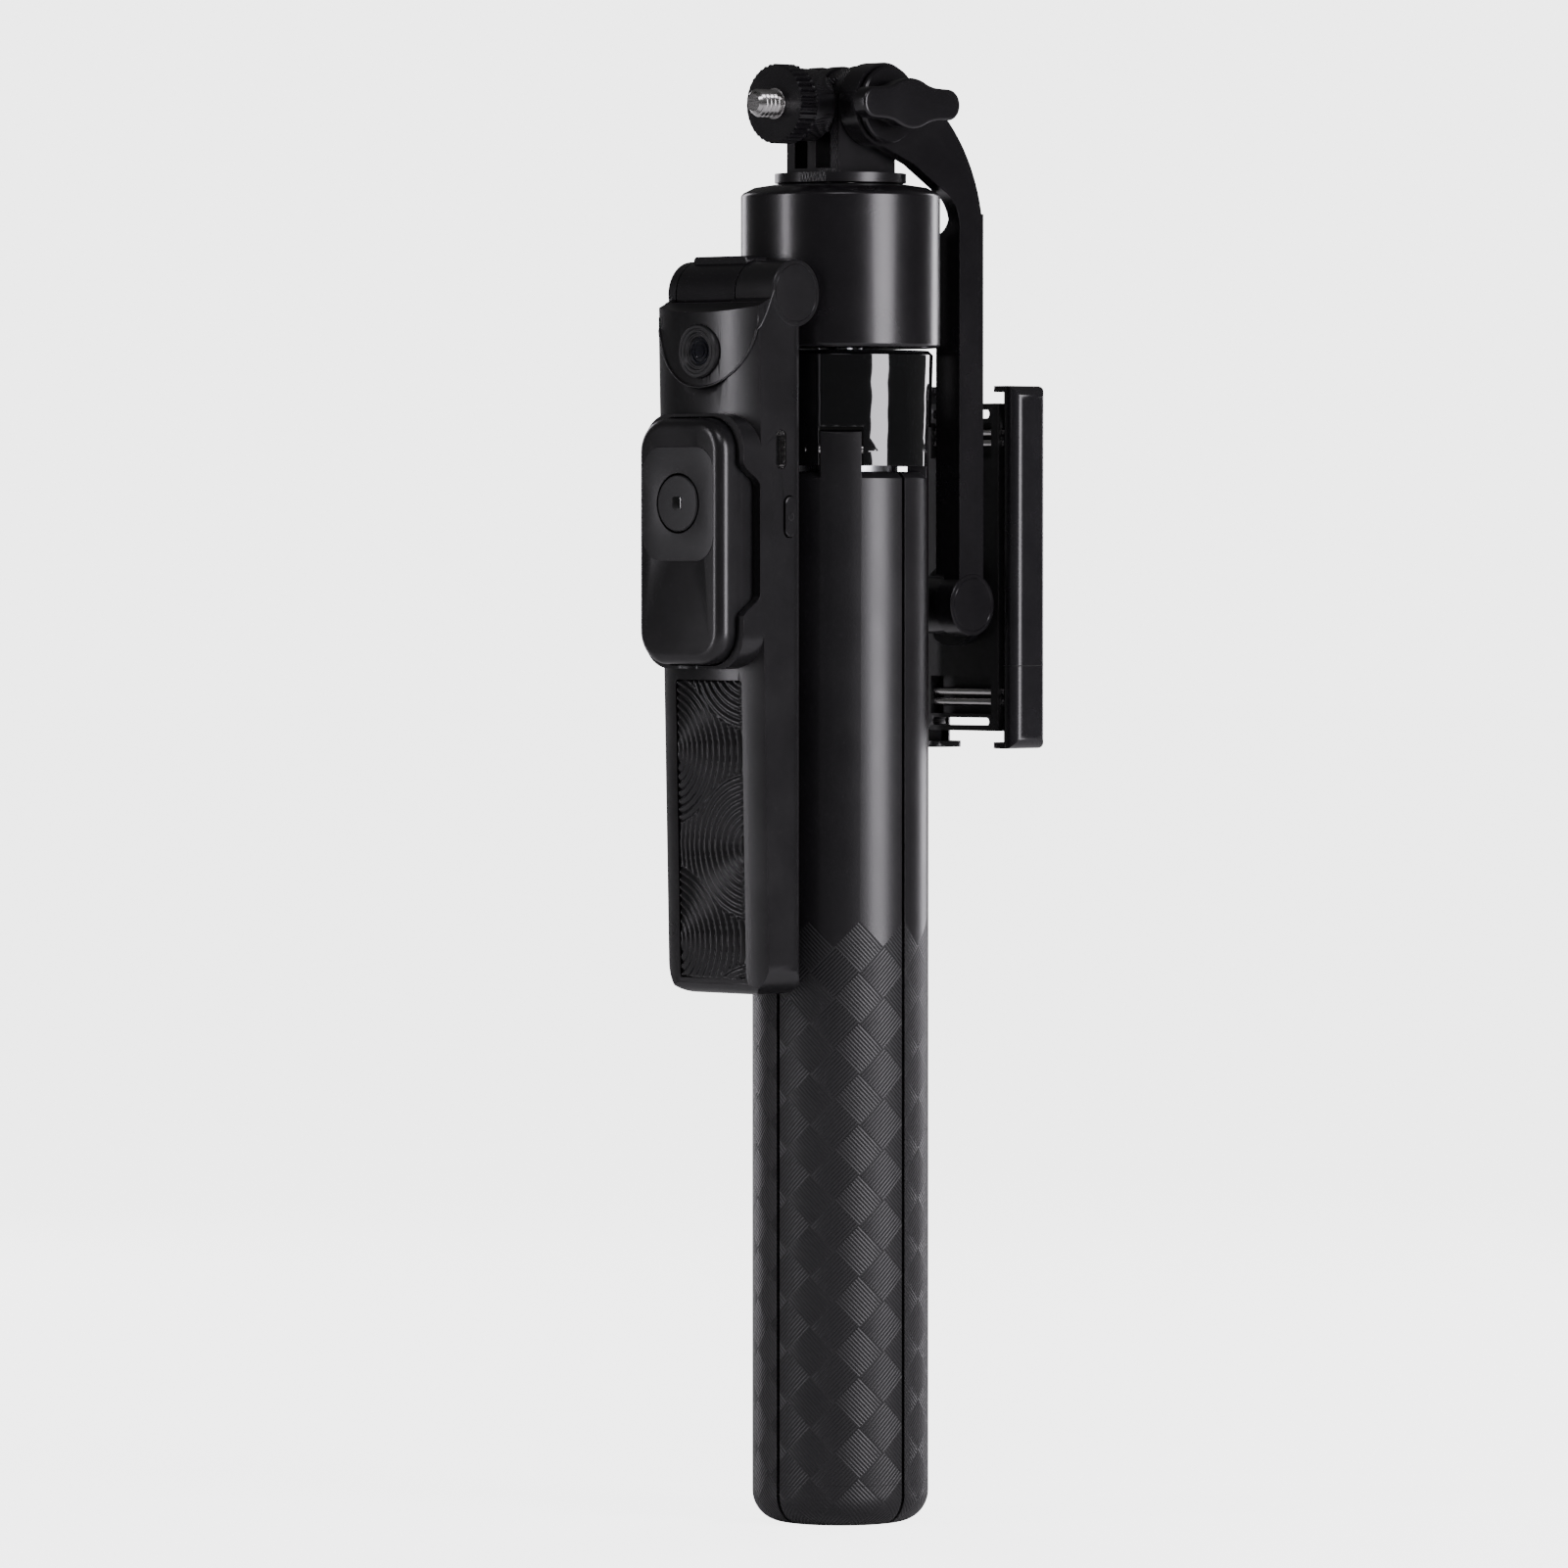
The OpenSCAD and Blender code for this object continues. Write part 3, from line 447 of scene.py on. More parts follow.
satin_black = moulded("satin_black", BLACK, BLACK_MOTTLE, 0.23, 0.28, 0.006 * MM)
leg_black = moulded("leg_black", (0.0060, 0.0054, 0.0064), BLACK_MOTTLE, 0.31, 0.36, 0.010 * MM,
                    pattern=GROOVES_WITH_PAINTED_SHADE)
hatched_black = moulded("hatched_black", BLACK, BLACK_MOTTLE, 0.28, 0.34, 0.008 * MM, pattern=HATCHING)
unit_black = moulded("unit_black", (0.0068, 0.0064, 0.0072), (0.0090, 0.0086, 0.0094), 0.27, 0.33,
                     0.008 * MM)
panel_black = moulded("panel_black", (0.0085, 0.0085, 0.0092), (0.0110, 0.0110, 0.0118), 0.42, 0.50,
                      0.014 * MM)
piano_black = moulded("piano_black", (0.0020, 0.0020, 0.0024), (0.0030, 0.0030, 0.0034), 0.05, 0.08,
                      0.0003 * MM, dust=0.1)
piano_black.node_tree.nodes["Principled BSDF"].inputs["Coat Weight"].default_value = 1.0
clamp_black = moulded("clamp_black", (0.0090, 0.0085, 0.0100), (0.0115, 0.0110, 0.0125), 0.24, 0.30,
                      0.005 * MM, pattern=SEAM_WITH_PAINTED_SHADE)
frame_black = moulded("frame_black", (0.0075, 0.0075, 0.0078), (0.0100, 0.0100, 0.0104), 0.36, 0.44,
                      0.012 * MM)
rubber_black = moulded("rubber_black", (0.0095, 0.0095, 0.0100), (0.0135, 0.0135, 0.0140), 0.48, 0.60,
                       0.016 * MM, 2500.0)
pad_rubber = moulded("pad_rubber", (0.0060, 0.0058, 0.0064), (0.0080, 0.0078, 0.0084), 0.30, 0.38,
                     0.008 * MM, 2500.0)
steel = metal("steel", (0.66, 0.65, 0.64), 0.16, 0.26)
aluminium = metal("aluminium", (0.62, 0.63, 0.65), 0.22, 0.34, (900.0, 900.0, 30.0))
bush_white = moulded("bush_white", (0.60, 0.57, 0.49), (0.68, 0.65, 0.56), 0.4, 0.5, 0.01 * MM)
cell_wrap = moulded("cell_wrap", (0.03, 0.06, 0.16), (0.04, 0.075, 0.19), 0.25, 0.35, 0.005 * MM)
solder_mask = moulded("solder_mask", (0.008, 0.06, 0.025), (0.012, 0.08, 0.033), 0.3, 0.4, 0.01 * MM)


def coated_glass():
    """Dark coated lens glass, a little lighter and bluer towards its rim, where it turns from the view: a
    painted sheen of the coating.
    """
    material, tree, shader = blank("coated_glass", (0.01, 0.012, 0.02), 0.03)
    shader.inputs["Coat Weight"].default_value = 1.0
    shader.inputs["Coat Roughness"].default_value = 0.02
    # Painted sheen: the colour turns lighter and bluer as the glass turns away from the view.
    facing = tree.nodes.new("ShaderNodeLayerWeight").outputs["Facing"]
    colour = tint(tree, facing, (0.003, 0.003, 0.005), (0.008, 0.009, 0.018))
    tree.links.new(colour, shader.inputs["Base Color"])
    return material


lens_coating = coated_glass()

FINISHES = {
    leg_black: ["leg_front_right", "leg_back_right", "leg_back_left", "leg_front_left", "foot_front_right",
                "foot_back_right", "foot_back_left", "foot_front_left"],
    satin_black: ["head_floor", "head_shell", "unit_bracket", "phone_arm", "clamp_knuckle"],
    hatched_black: ["yoke", "stud_block"],
    unit_black: ["unit_back_shell", "unit_front_shell", "camera_hood", "remote_body", "power_button"],
    piano_black: ["leg_hub", "base_plug"],
    clamp_black: ["jaw_right", "jaw_left"],
    frame_black: ["clamp_frame"],
    steel: ["leg_hinge_pins", "pan_spindle", "pivot_nut", "pivot_bolt", "clamp_pivot_pin",
            "clamp_spin_screw", "clamp_springs", "jaw_rods_right", "jaw_rods_left", "unit_hinge_pin",
            "usb_port", "coin_cell"],
    aluminium: ["base_tube", "tube_1", "tube_2", "tube_3", "tube_4", "tube_5", "pan_motor"],
    bush_white: ["bush_1", "bush_2", "bush_3", "bush_4", "bush_5"],
    cell_wrap: ["battery"],
    solder_mask: ["circuit_board"],
}
for finish, members in FINISHES.items():
    for member in members:
        paint(member, finish)

EDGES = {
    0.5 * MM: ["remote_body", "phone_arm"],
    0.35 * MM: ["head_shell", "leg_hub", "clamp_knuckle", "unit_back_shell", "jaw_right", "jaw_left"],
    0.2 * MM: ["yoke", "stud_block", "clamp_frame", "unit_bracket", "camera_hood", "unit_front_shell",
               "power_button", "leg_front_right", "leg_back_right", "leg_back_left", "leg_front_left",
               "foot_front_right", "foot_back_right", "foot_back_left", "foot_front_left", "pivot_nut",
               "pivot_bolt"],
    0.0: ["base_tube", "tube_1", "tube_2", "tube_3", "tube_4", "tube_5", "base_plug", "leg_hinge_pins",
          "bush_1", "bush_2", "bush_3", "bush_4", "bush_5", "head_floor", "pan_motor", "pan_spindle",
          "clamp_pivot_pin", "clamp_spin_screw", "clamp_springs", "jaw_rods_right", "jaw_rods_left",
          "usb_port", "battery", "circuit_board", "unit_hinge_pin", "coin_cell"],
}
for width, members in EDGES.items():
    for member in members:
        soften(member, width)


# ---------------------------------------------------------------- pieces at the head

hinge = joint_place("wing_knob_turn")


def make_wing_knob():
    """A two-lobed wing with a raised middle, on a round flange."""
    low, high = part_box("wing_knob")
    half, lobe, tip_round = high.y, 3.35 * MM, 3.3 * MM
    hub, hub_half = 5.75 * MM, 2.2 * MM
    waist, waist_half, waist_round = 3.75 * MM, 6.4 * MM, 2.0 * MM
    flange, rim = 8.7 * MM, 0.4 * MM
    right = [(half, -lobe), (half, lobe), (waist_half, waist), (hub_half, hub)]
    left = [(-hub_half, hub), (-waist_half, waist), (-half, lobe), (-half, -lobe)]
    under = [(-waist_half, -waist), (-hub_half, -hub), (hub_half, -hub), (waist_half, -waist)]
    radii = [tip_round] * 2 + [waist_round] * 4 + [tip_round] * 2 + [waist_round] * 4
    bm = bmesh.new()
    outline(bm, right + left + under, radii, lambda u, v: (hinge.x, u, hinge.z + v))
    thicken(bm, X_WAY * (high.x - hinge.x))
    round_rim(bm, 0.75 * MM, 4, lambda co: co.x > high.x - 0.1 * MM)
    turn(bm, [(2.6 * MM, 0), (flange - rim, 0), (flange, rim), (flange, 1.3 * MM),
              (flange - rim, 1.7 * MM), (3.0 * MM, 1.75 * MM)], Vector((low.x, 0, hinge.z)), X_WAY)
    piece = piece_from(bm, "wing_knob_shaped", "knob", satin_black)
    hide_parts("wing_knob")


def make_lock_wheel():
    """A wheel with 36 straight ridges round its rim."""
    low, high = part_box("lock_wheel")
    rim, bore, depth = high.x, 3.6 * MM, high.y - low.y
    steps, ridge_steps, ridge_depth = 144, 4, 0.9 * MM
    bm = bmesh.new()
    turn(bm, [(bore, 0), (rim - 0.5 * MM, 0), (rim, 0.35 * MM), (rim, depth - 0.3 * MM),
              (rim - 0.35 * MM, depth), (bore, depth), (bore, 0)],
         Vector((0, high.y, hinge.z)), FRONT, steps=steps)
    for vert in bm.verts:
        across = Vector((vert.co.x, 0, vert.co.z - hinge.z))
        turned = round(math.atan2(across.z, across.x) / math.tau * steps)
        if across.length > rim - 0.1 * MM and turned % ridge_steps in (2, 3):
            vert.co -= across.normalized() * ridge_depth
    piece = piece_from(bm, "lock_wheel_ridged", "wheel", satin_black, smooth=25)
    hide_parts("lock_wheel")


def make_camera_stud():
    """A 1/4 inch screw: a plain shank, then 20 threads to the inch, then a chamfered tip."""
    low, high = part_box("camera_stud")
    pitch, root, crest, shank = 1.27 * MM, 2.5 * MM, 3.15 * MM, 3.5 * MM
    core, flat = root + 0.02 * MM, 0.05 * MM
    tip, chamfer = 1.9 * MM, 0.7 * MM
    length = high.y - low.y
    thread_start = length - 6.35 * MM
    centre = Vector((0, high.y, hinge.z))
    bm = bmesh.new()
    turn(bm, [(0, 0), (shank, 0), (shank, thread_start - 0.15 * MM), (core, thread_start),
              (core, length - chamfer), (tip, length), (0, length)], centre, FRONT)
    turns, steps = 3.75, 32
    turn(bm, [(root, 0), (crest - flat, 0.40 * pitch), (crest, 0.5 * pitch), (crest - flat, 0.60 * pitch),
              (root, pitch)],
         centre + FRONT * (thread_start + 0.05 * MM), FRONT, steps=int(turns * steps),
         angle=math.tau * turns, climb=pitch / steps)
    piece = piece_from(bm, "camera_stud_threaded", "stud", steel, smooth=35)
    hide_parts("camera_stud")


def make_cap(name, body, centre, way, radius, material):
    """A thin round cap with a fine ring groove, over the end of a pin."""
    top, floor, groove = 0.16 * MM, 0.03 * MM, radius - 1.05 * MM
    bm = bmesh.new()
    turn(bm, [(0, top), (groove - 0.1 * MM, top), (groove, floor), (groove + 0.16 * MM, floor),
              (groove + 0.26 * MM, top), (radius - 0.14 * MM, top), (radius, 0.02 * MM), (radius, 0)],
         centre, way)
    piece = piece_from(bm, name, body, material)


make_wing_knob()
make_lock_wheel()
make_camera_stud()

unit_pin = joint_place("unit_flip")
unit_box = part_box("unit_back_shell")
barrel_right = Vector((unit_box[1].x, unit_pin.y, unit_pin.z))
barrel_left = Vector((unit_box[0].x, unit_pin.y, unit_pin.z))
make_cap("barrel_cap_right", "unit", barrel_right, X_WAY, 7.4 * MM, unit_black)
make_cap("barrel_cap_left", "unit", barrel_left, -X_WAY, 7.4 * MM, unit_black)
arm_pin = joint_place("clamp_tilt")
arm_face = Vector((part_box("phone_arm")[1].x, arm_pin.y, arm_pin.z))
make_cap("arm_cap", "arm", arm_face, X_WAY, 7.0 * MM, satin_black)


# ---------------------------------------------------------------- pieces of the camera unit

FRONT_BULGE = 42 * MM       # radius of the curved front
FRONT_TAPER = math.tan(math.radians(1.27))
FRONT_FACE = -45 * MM       # how far forward the front lies at the lens
lens = mid("lens_glass")


def unit_front(x, z):
    """How far forward the unit's curved front lies at a place on it."""
    return FRONT_FACE + x * x / (2 * FRONT_BULGE) + (lens.z - z) * FRONT_TAPER


def make_grip_pad():
    """A rubber pad of round ridges, in fans that rise from its two sides in turn."""
    low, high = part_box("grip_pad")
    play = 0.12 * MM
    half = high.x - play
    bottom, top = low.z + play, high.z - play
    fans = [Vector(place) * MM for place in
            [(-13, 175.7), (13, 154.4), (13, 197.0), (-13, 133.1), (13, 111.8)]]
    reach, ridge_pitch, ridge_height = 16.8 * MM, 1.72 * MM, 0.72 * MM
    valley, fade, skirt_depth = 0.65 * MM, 0.5 * MM, 0.6 * MM
    columns, rows = 84, 270
    bm = bmesh.new()
    outline(bm, box_corners(half, bottom, top), [0.9 * MM] * 4, lambda u, v: (u, 0, v), 4)
    slice_across(bm, [(-half + 2 * half * k / columns, 0, 0) for k in range(1, columns)], (1, 0, 0))
    slice_across(bm, [(0, 0, bottom + (top - bottom) * k / rows) for k in range(1, rows)], (0, 0, 1))
    for vert in bm.verts:
        here = Vector((vert.co.x, vert.co.z))
        spans = [(fan - here).length for fan in fans]
        span = min(spans)
        if span > reach:
            span = spans[min(range(len(fans)), key=lambda k: abs(fans[k].y - here.y))]
        swing = 0.5 + 0.5 * math.cos(math.tau * span / ridge_pitch)
        edge = min(half - abs(here.x), here.y - bottom, top - here.y)
        height = ridge_height * swing ** 0.75 * min(1, max(0, edge / fade))
        vert.co.y = unit_front(here.x, here.y) + valley - height
    skirt = bmesh.ops.extrude_edge_only(bm, edges=[e for e in bm.edges if e.is_boundary])
    moved = [item for item in skirt["geom"] if isinstance(item, bmesh.types.BMVert)]
    bmesh.ops.translate(bm, vec=(0, skirt_depth, 0), verts=moved)
    piece = piece_from(bm, "grip_pad_ridged", "unit", pad_rubber, smooth=60)
    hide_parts("grip_pad")


BEZEL_RINGS = [(6.0, -1.2), (6.0, -0.3), (5.7, 0), (5.15, 0), (5.0, -0.2), (4.75, -0.2), (4.65, -0.05),
               (4.3, -0.05), (4.0, -0.45), (3.75, -0.45), (3.65, -0.65), (3.35, -0.65), (3.1, -1.1),
               (3.1, -2.0)]
LENS_RINGS = [(3.1, -1.5), (3.05, -1.15), (2.6, -1.1), (2.55, -1.35), (2.3, -1.35), (2.25, -1.05),
              (1.7, -0.95), (1.65, -1.15), (1.45, -1.15), (1.4, -0.9), (0.7, -0.8), (0, -0.78)]


def make_lens_rings():
    """Bezel with stepped rings that fall in to the lens, and a lens with its own inner rings."""
    centre = Vector((0, unit_front(0, lens.z) - 0.75 * MM, lens.z))
    for rings, name, material, smooth, slot, node in (
            (BEZEL_RINGS, "lens_bezel_stepped", frame_black, 28, "gloss_black", "lens_bezel"),
            (LENS_RINGS, "lens_dome", lens_coating, 60, "lens", "lens_glass")):
        bm = bmesh.new()
        turn(bm, [(r * MM, t * MM) for r, t in rings], centre, FRONT)
        piece = piece_from(bm, name, "unit", material, smooth=smooth)
        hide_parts(node)


def make_hood_lip():
    """Fine bead along the hood's lower edge, round the front and up both sides to the barrel."""
    low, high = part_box("camera_hood")
    radius, bead, front_steps = 15.8 * MM, 0.3 * MM, 20
    centre_z = low.z + radius
    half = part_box("unit_front_shell")[1].x
    corner = math.asin((half - 0.5 * MM) / radius)
    front = []
    for k in range(-front_steps, front_steps + 1):
        a = corner * k / front_steps
        x, z = radius * math.sin(a), centre_z - radius * math.cos(a)
        front.append(Vector((x, unit_front(x, z), z)))
    end = front[-1]
    side = [Vector((half, end.y + (0.7 + 4.2 * t ** 0.8) * MM, end.z + (0.8 + 8.0 * t) * MM))
            for t in (0, 0.15, 0.3, 0.45, 0.6, 0.75, 0.9, 1.0)]
    mirrored = [Vector((-p.x, p.y, p.z)) for p in reversed(side)]
    path = mirrored + front + side
    last = len(path) - 1
    ways = [(path[min(k + 1, last)] - path[max(k - 1, 0)]).normalized() for k in range(len(path))]
    facing = Vector((0, 0, 1)).rotation_difference(ways[0]).to_matrix().to_4x4()
    bm = bmesh.new()
    made = bmesh.ops.create_circle(bm, cap_ends=True, segments=10, radius=bead,
                                   matrix=Matrix.Translation(path[0]) @ facing)
    ring = [edge for edge in bm.edges if edge.verts[0] in made["verts"]]
    for k in range(1, len(path)):
        grown = bmesh.ops.extrude_edge_only(bm, edges=ring)["geom"]
        verts = [item for item in grown if isinstance(item, bmesh.types.BMVert)]
        ring = [edge for edge in bm.edges if edge.verts[0] in verts and edge.verts[1] in verts]
        bmesh.ops.translate(bm, vec=path[k] - path[k - 1], verts=verts)
        bmesh.ops.rotate(bm, cent=path[k], verts=verts,
                         matrix=ways[k - 1].rotation_difference(ways[k]).to_matrix())
    bmesh.ops.edgeloop_fill(bm, edges=ring)
    lip = piece_from(bm, "hood_lip", "unit", unit_black, smooth=60)


def make_cradle():
    """Cup for the remote: swept finger cut-outs in both sides and a small notch at the bottom."""
    low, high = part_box("remote_cradle")
    remote_low, remote_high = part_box("remote_body")
    play, corner, corner_steps = 0.35 * MM, 8.0 * MM, 12
    cut_low, cut_high, cut_slope, cut_depth = 205.5 * MM, 240 * MM, 5 * MM, 5.2 * MM
    notch_half, notch_slope, notch_depth = 4.4 * MM, 1.8 * MM, 3.2 * MM
    floor_place, floor_thick = 1.7 * MM, 1.6 * MM
    front, back = low.y, high.y

    def pocket(y):
        """The room for the remote, as a flat face."""
        made = bmesh.new()
        outline(made, box_corners(remote_high.x + play, remote_low.z - play, remote_high.z + play),
                [corner - 0.1 * MM] * 4, lambda u, v: (u, y, v), corner_steps)
        return made

    bm = bmesh.new()
    outline(bm, box_corners(high.x, low.z, high.z), [corner] * 4, lambda u, v: (u, front, v), corner_steps)
    outer = bm.edges[:]
    take_in(bm, pocket(front))
    bmesh.ops.delete(bm, geom=bm.faces[:], context="FACES_ONLY")
    known = set(outer)
    inner = [edge for edge in bm.edges if edge not in known]
    bmesh.ops.bridge_loops(bm, edges=outer + inner)
    thicken(bm, Vector((0, back - front, 0)))
    slice_across(bm, [(0, 0, (202 + k * 0.95) * MM) for k in range(46)], (0, 0, 1))
    slice_across(bm, [((-6 + k * 0.6) * MM, 0, 0) for k in range(21)], (1, 0, 0))
    for vert in bm.verts:
        if vert.co.y > front + 0.01 * MM:
            continue
        x, z = vert.co.x, vert.co.z
        if abs(x) > 12 * MM:
            vert.co.y += cut_depth * ease((z - cut_low) / cut_slope) * ease((cut_high - z) / cut_slope)
        elif z < 200 * MM:
            vert.co.y += notch_depth * ease((notch_half - abs(x)) / notch_slope)
    cup_floor = pocket(back - floor_place)
    thicken(cup_floor, Vector((0, floor_thick, 0)))
    take_in(bm, cup_floor)
    piece = piece_from(bm, "remote_cradle_swept", "unit", unit_black, smooth=35)
    bevel = piece.modifiers.new("soft_edge", "BEVEL")
    bevel.width = 0.35 * MM
    bevel.segments = 3
    bevel.limit_method = "ANGLE"
    bevel.angle_limit = math.radians(50)
    bevel.harden_normals = True
    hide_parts("remote_cradle")


def recast(node, tests):
    """A merged copy of a CAD node with chosen edges rounded. Each test has a width, its segments
    and a rule that picks the edges by their end points."""
    bm = bmesh.new()
    bm.from_mesh(nodes[node].data)
    bmesh.ops.remove_doubles(bm, verts=bm.verts, dist=2e-6)
    bmesh.ops.dissolve_limit(bm, angle_limit=math.radians(0.5), verts=bm.verts, edges=bm.edges,
                             use_dissolve_boundaries=False)
    for width, segments, rule in tests:
        round_rim(bm, width, segments, rule)
    return bm


def make_remote():
    """Remote with a rounded front, a matt panel, and a round button with a small square mark."""
    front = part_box("remote_face")[0].y
    button = mid("remote_button")
    button_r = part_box("remote_button")[1].x

    def on_front(co):
        return co.y < front + 0.05 * MM

    def from_button(co):
        return math.hypot(co.x, co.z - button.z)

    bm = recast("remote_face", [
        (2.6 * MM, 8, lambda co: on_front(co) and from_button(co) > 9 * MM),
        (0.2 * MM, 2, lambda co: on_front(co) and from_button(co) < 8 * MM),
    ])
    face = piece_from(bm, "remote_face_rounded", "remote", unit_black, smooth=35)
    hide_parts("remote_face")

    panel_back, panel_thick, gap = front + 0.06 * MM, 0.22 * MM, 0.32 * MM
    bm = bmesh.new()
    outline(bm, box_corners(11.2 * MM, button.z - 12.9 * MM, button.z + 12.6 * MM), [5.5 * MM] * 4,
            lambda u, v: (u, panel_back, v), 11)
    rim = bm.edges[:]
    bmesh.ops.delete(bm, geom=bm.faces[:], context="FACES_ONLY")
    level = Matrix.Translation((0, panel_back, button.z)) @ Matrix.Rotation(math.pi / 2, 4, "X")
    hole = bmesh.ops.create_circle(bm, cap_ends=False, segments=48, radius=button_r + gap, matrix=level)
    ring = [edge for edge in bm.edges if edge.verts[0] in hole["verts"]]
    bmesh.ops.bridge_loops(bm, edges=rim + ring)
    thicken(bm, FRONT * panel_thick)
    round_rim(bm, 0.12 * MM, 3, lambda co: co.y < front - 0.1 * MM)
    panel = piece_from(bm, "remote_panel", "remote", panel_black, smooth=35)

    top, side, foot = 0.42 * MM, button_r - 0.1 * MM, -3.8 * MM
    bm = bmesh.new()
    turn(bm, [(0, top), (button_r - 0.9 * MM, top), (button_r - 0.35 * MM, top - 0.04 * MM),
              (side, top - 0.3 * MM), (side, foot), (0, foot)], Vector((0, front, button.z)), FRONT)
    button_piece = piece_from(bm, "remote_button_rounded", "shutter", panel_black, smooth=35)
    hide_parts("remote_button")

    bm = bmesh.new()
    outline(bm, box_corners(1.35 * MM, button.z - 1.5 * MM, button.z + 1.5 * MM), [0.5 * MM] * 4,
            lambda u, v: (u, front - top, v), 4)
    thicken(bm, FRONT * 0.14 * MM)
    round_rim(bm, 0.08 * MM, 2, lambda co: co.y < front - top - 0.1 * MM)
    mark = piece_from(bm, "button_mark", "shutter", piano_black, smooth=35)


def make_power_mark():
    """The usual power sign, a broken ring and a bar, raised a little from its button."""
    centre = mid("power_button")
    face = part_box("power_button")[1].x
    middle = Vector((face, centre.y, centre.z))
    inner, outer, base, top = 0.72 * MM, 0.92 * MM, -0.02 * MM, 0.08 * MM
    bar, bar_low, bar_high = 0.1 * MM, 0.1 * MM, 1.15 * MM
    bm = bmesh.new()
    turn(bm, [(inner, base), (inner, top), (outer, top), (outer, base)], middle, X_WAY, steps=28,
         angle=math.radians(300))
    bmesh.ops.rotate(bm, cent=middle, verts=bm.verts, matrix=Matrix.Rotation(math.radians(120), 3, "X"))
    outline(bm, box_corners(bar, bar_low, bar_high), [0, 0, 0, 0],
            lambda u, v: (face + top, centre.y + u, centre.z + v))
    mark = piece_from(bm, "power_mark", "power", panel_black)


def make_port_liner():
    """Black moulding close inside the steel mouth of the socket, with a deep slot in it: partly the socket's
    real black moulding, partly a dark face standing in as painted shade for the socket's depth.
    """
    low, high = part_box("usb_port")
    middle, rim, sunk = mid("usb_port"), 0.42 * MM, 0.3 * MM
    half_y, half_z = (high.y - low.y) / 2 - rim, (high.z - low.z) / 2 - rim
    bm = bmesh.new()
    outline(bm, box_corners(half_y, -half_z, half_z), [min(half_y, half_z) * 0.98] * 4,
            lambda u, v: (high.x - sunk, middle.y + u, middle.z + v), 8)
    bmesh.ops.inset_region(bm, faces=bm.faces[:], thickness=0.3 * MM, depth=0)
    slot = max(bm.faces, key=lambda face: len(face.verts))
    bmesh.ops.inset_region(bm, faces=[slot], thickness=0.02 * MM, depth=-1.2 * MM)
    # Dark face near the mouth: painted shade in place of the socket's depth.
    liner = piece_from(bm, "port_liner", "unit", piano_black, smooth=30)


def make_jaw_liner(side, name, body):
    """Rubber liner along the bottom of a jaw's groove."""
    low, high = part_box("jaw_right")
    near, far, end_gap, thick = 44.3 * MM, 47.6 * MM, 5 * MM, 0.6 * MM
    outer = side * (high.x - 3.2 * MM)
    bottom, top = low.z + end_gap, high.z - end_gap
    bm = bmesh.new()
    outline(bm, [(near, bottom), (far, bottom), (far, top), (near, top)], [0.8 * MM] * 4,
            lambda u, v: (outer, u, v), 4)
    thicken(bm, Vector((-side * thick, 0, 0)))
    round_rim(bm, 0.2 * MM, 2, lambda co: abs(co.x) < abs(outer) - thick / 2)
    liner = piece_from(bm, name, body, rubber_black)


make_grip_pad()
make_lens_rings()
make_hood_lip()
make_cradle()
make_remote()
make_power_mark()
make_port_liner()
make_jaw_liner(1, "jaw_liner_right", "right_jaw")
make_jaw_liner(-1, "jaw_liner_left", "left_jaw")


# ---------------------------------------------------------------- floor, lights, camera

FLOOR_GLOW = 3.9
BACKDROP_GLOW = 4.0
ROOM_GLOW = 0.08
FLOOR_HALF = 8.0
VIEW_AZIMUTH = 45           # degrees round the pole, from the front towards the right
LAMP_TINT = (1.0, 0.965, 1.03)
LAMP_AIM = 0.18             # height that the lamps point at
SENSOR = 36
# name, degrees from the camera, distance, height, width, tallness, watts
LAMPS = [
    ("right_strip", 50, 0.9, 0.28, 0.36, 0.8, 10),
    ("left_strip", -66, 1.0, 0.28, 0.05, 0.9, 4.5),
    ("rear_right", 140, 1.0, 0.30, 0.25, 0.8, 4),
    ("rear_left", -150, 1.0, 0.30, 0.25, 0.8, 2.5),
    ("top_fill", 0, 1.4, 1.6, 0.7, 0.5, 7),
]


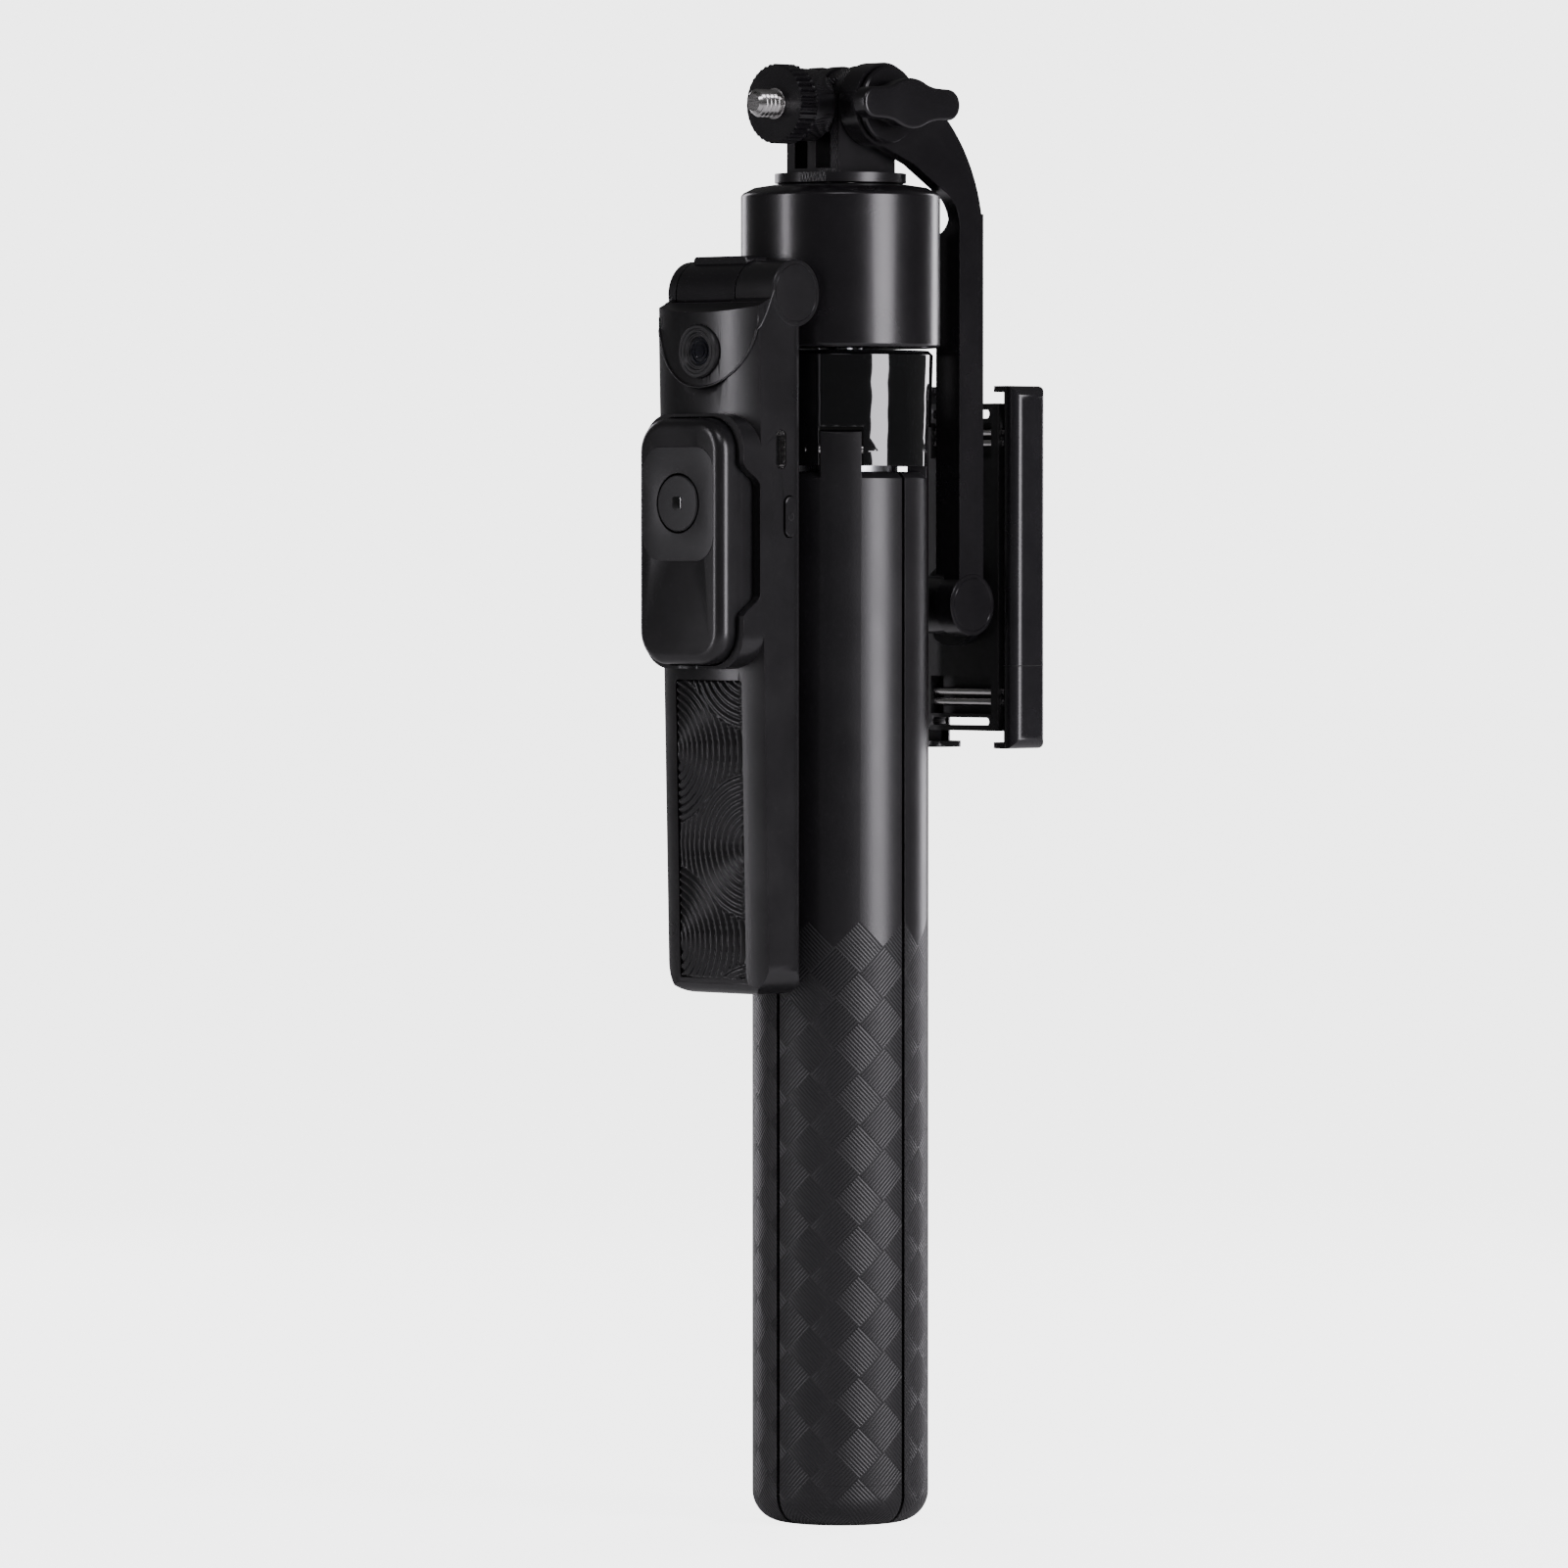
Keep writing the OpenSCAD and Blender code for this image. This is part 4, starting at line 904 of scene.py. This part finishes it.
def make_floor():
    """Pale floor that looks as bright as the surroundings, with a soft shadow on it."""
    bm = bmesh.new()
    bmesh.ops.create_grid(bm, x_segments=1, y_segments=1, size=FLOOR_HALF)
    mesh = bpy.data.meshes.new("floor")
    bm.to_mesh(mesh)
    bm.free()
    floor = bpy.data.objects.new("floor", mesh)
    bpy.context.collection.objects.link(floor)
    material, tree, shader = blank("pale_floor", (0.8, 0.8, 0.8), 0.8)
    seen = tree.nodes.new("ShaderNodeLightPath").outputs["Is Camera Ray"]
    shader.inputs["Emission Color"].default_value = (1, 1, 1, 1)
    tree.links.new(ramp(tree, seen, 0.0, FLOOR_GLOW, 0.0, 1.0), shader.inputs["Emission Strength"])
    mesh.materials.append(material)


def softbox(name, turned, distance, height, width, tall, watts):
    """A strip light round the pole from the camera, aimed at the middle of the stick."""
    data = bpy.data.lights.new(name, "AREA")
    data.shape = "RECTANGLE"
    data.size = width
    data.size_y = tall
    data.energy = watts
    data.color = LAMP_TINT
    lamp = bpy.data.objects.new(name, data)
    bpy.context.collection.objects.link(lamp)
    a = math.radians(VIEW_AZIMUTH + turned)
    lamp.location = (distance * math.sin(a), -distance * math.cos(a), height)
    aim = Vector((0, 0, LAMP_AIM)) - lamp.location
    lamp.rotation_euler = aim.to_track_quat("-Z", "Y").to_euler()


def make_world():
    """Pale surroundings, with a darker room for the reflections."""
    world = bpy.data.worlds.new("studio")
    bpy.context.scene.world = world
    world.use_nodes = True
    tree = world.node_tree
    back = tree.nodes["Background"]
    back.inputs["Color"].default_value = (1, 1, 1, 1)
    seen = tree.nodes.new("ShaderNodeLightPath").outputs["Is Camera Ray"]
    tree.links.new(ramp(tree, seen, ROOM_GLOW, BACKDROP_GLOW, 0.0, 1.0), back.inputs["Strength"])


def make_camera():
    """Long lens from the front right, a little above the middle of the stick."""
    azimuth = math.radians(VIEW_AZIMUTH)
    distance = 2.3
    eye_height = 0.2253
    aim_height = 0.1674
    sideways = -0.0128
    field = 0.3558
    data = bpy.data.cameras.new("camera")
    data.sensor_width = SENSOR
    data.lens = SENSOR * distance / field
    data.clip_end = 20
    camera = bpy.data.objects.new("camera", data)
    bpy.context.collection.objects.link(camera)
    right = Vector((math.cos(azimuth), math.sin(azimuth), 0))
    back = Vector((math.sin(azimuth), -math.cos(azimuth), 0))
    aim = right * sideways + Vector((0, 0, aim_height))
    camera.location = right * sideways + back * distance + Vector((0, 0, eye_height))
    camera.rotation_euler = (aim - camera.location).to_track_quat("-Z", "Y").to_euler()
    bpy.context.scene.camera = camera


make_floor()
make_world()
make_camera()
for lamp_row in LAMPS:
    softbox(*lamp_row)
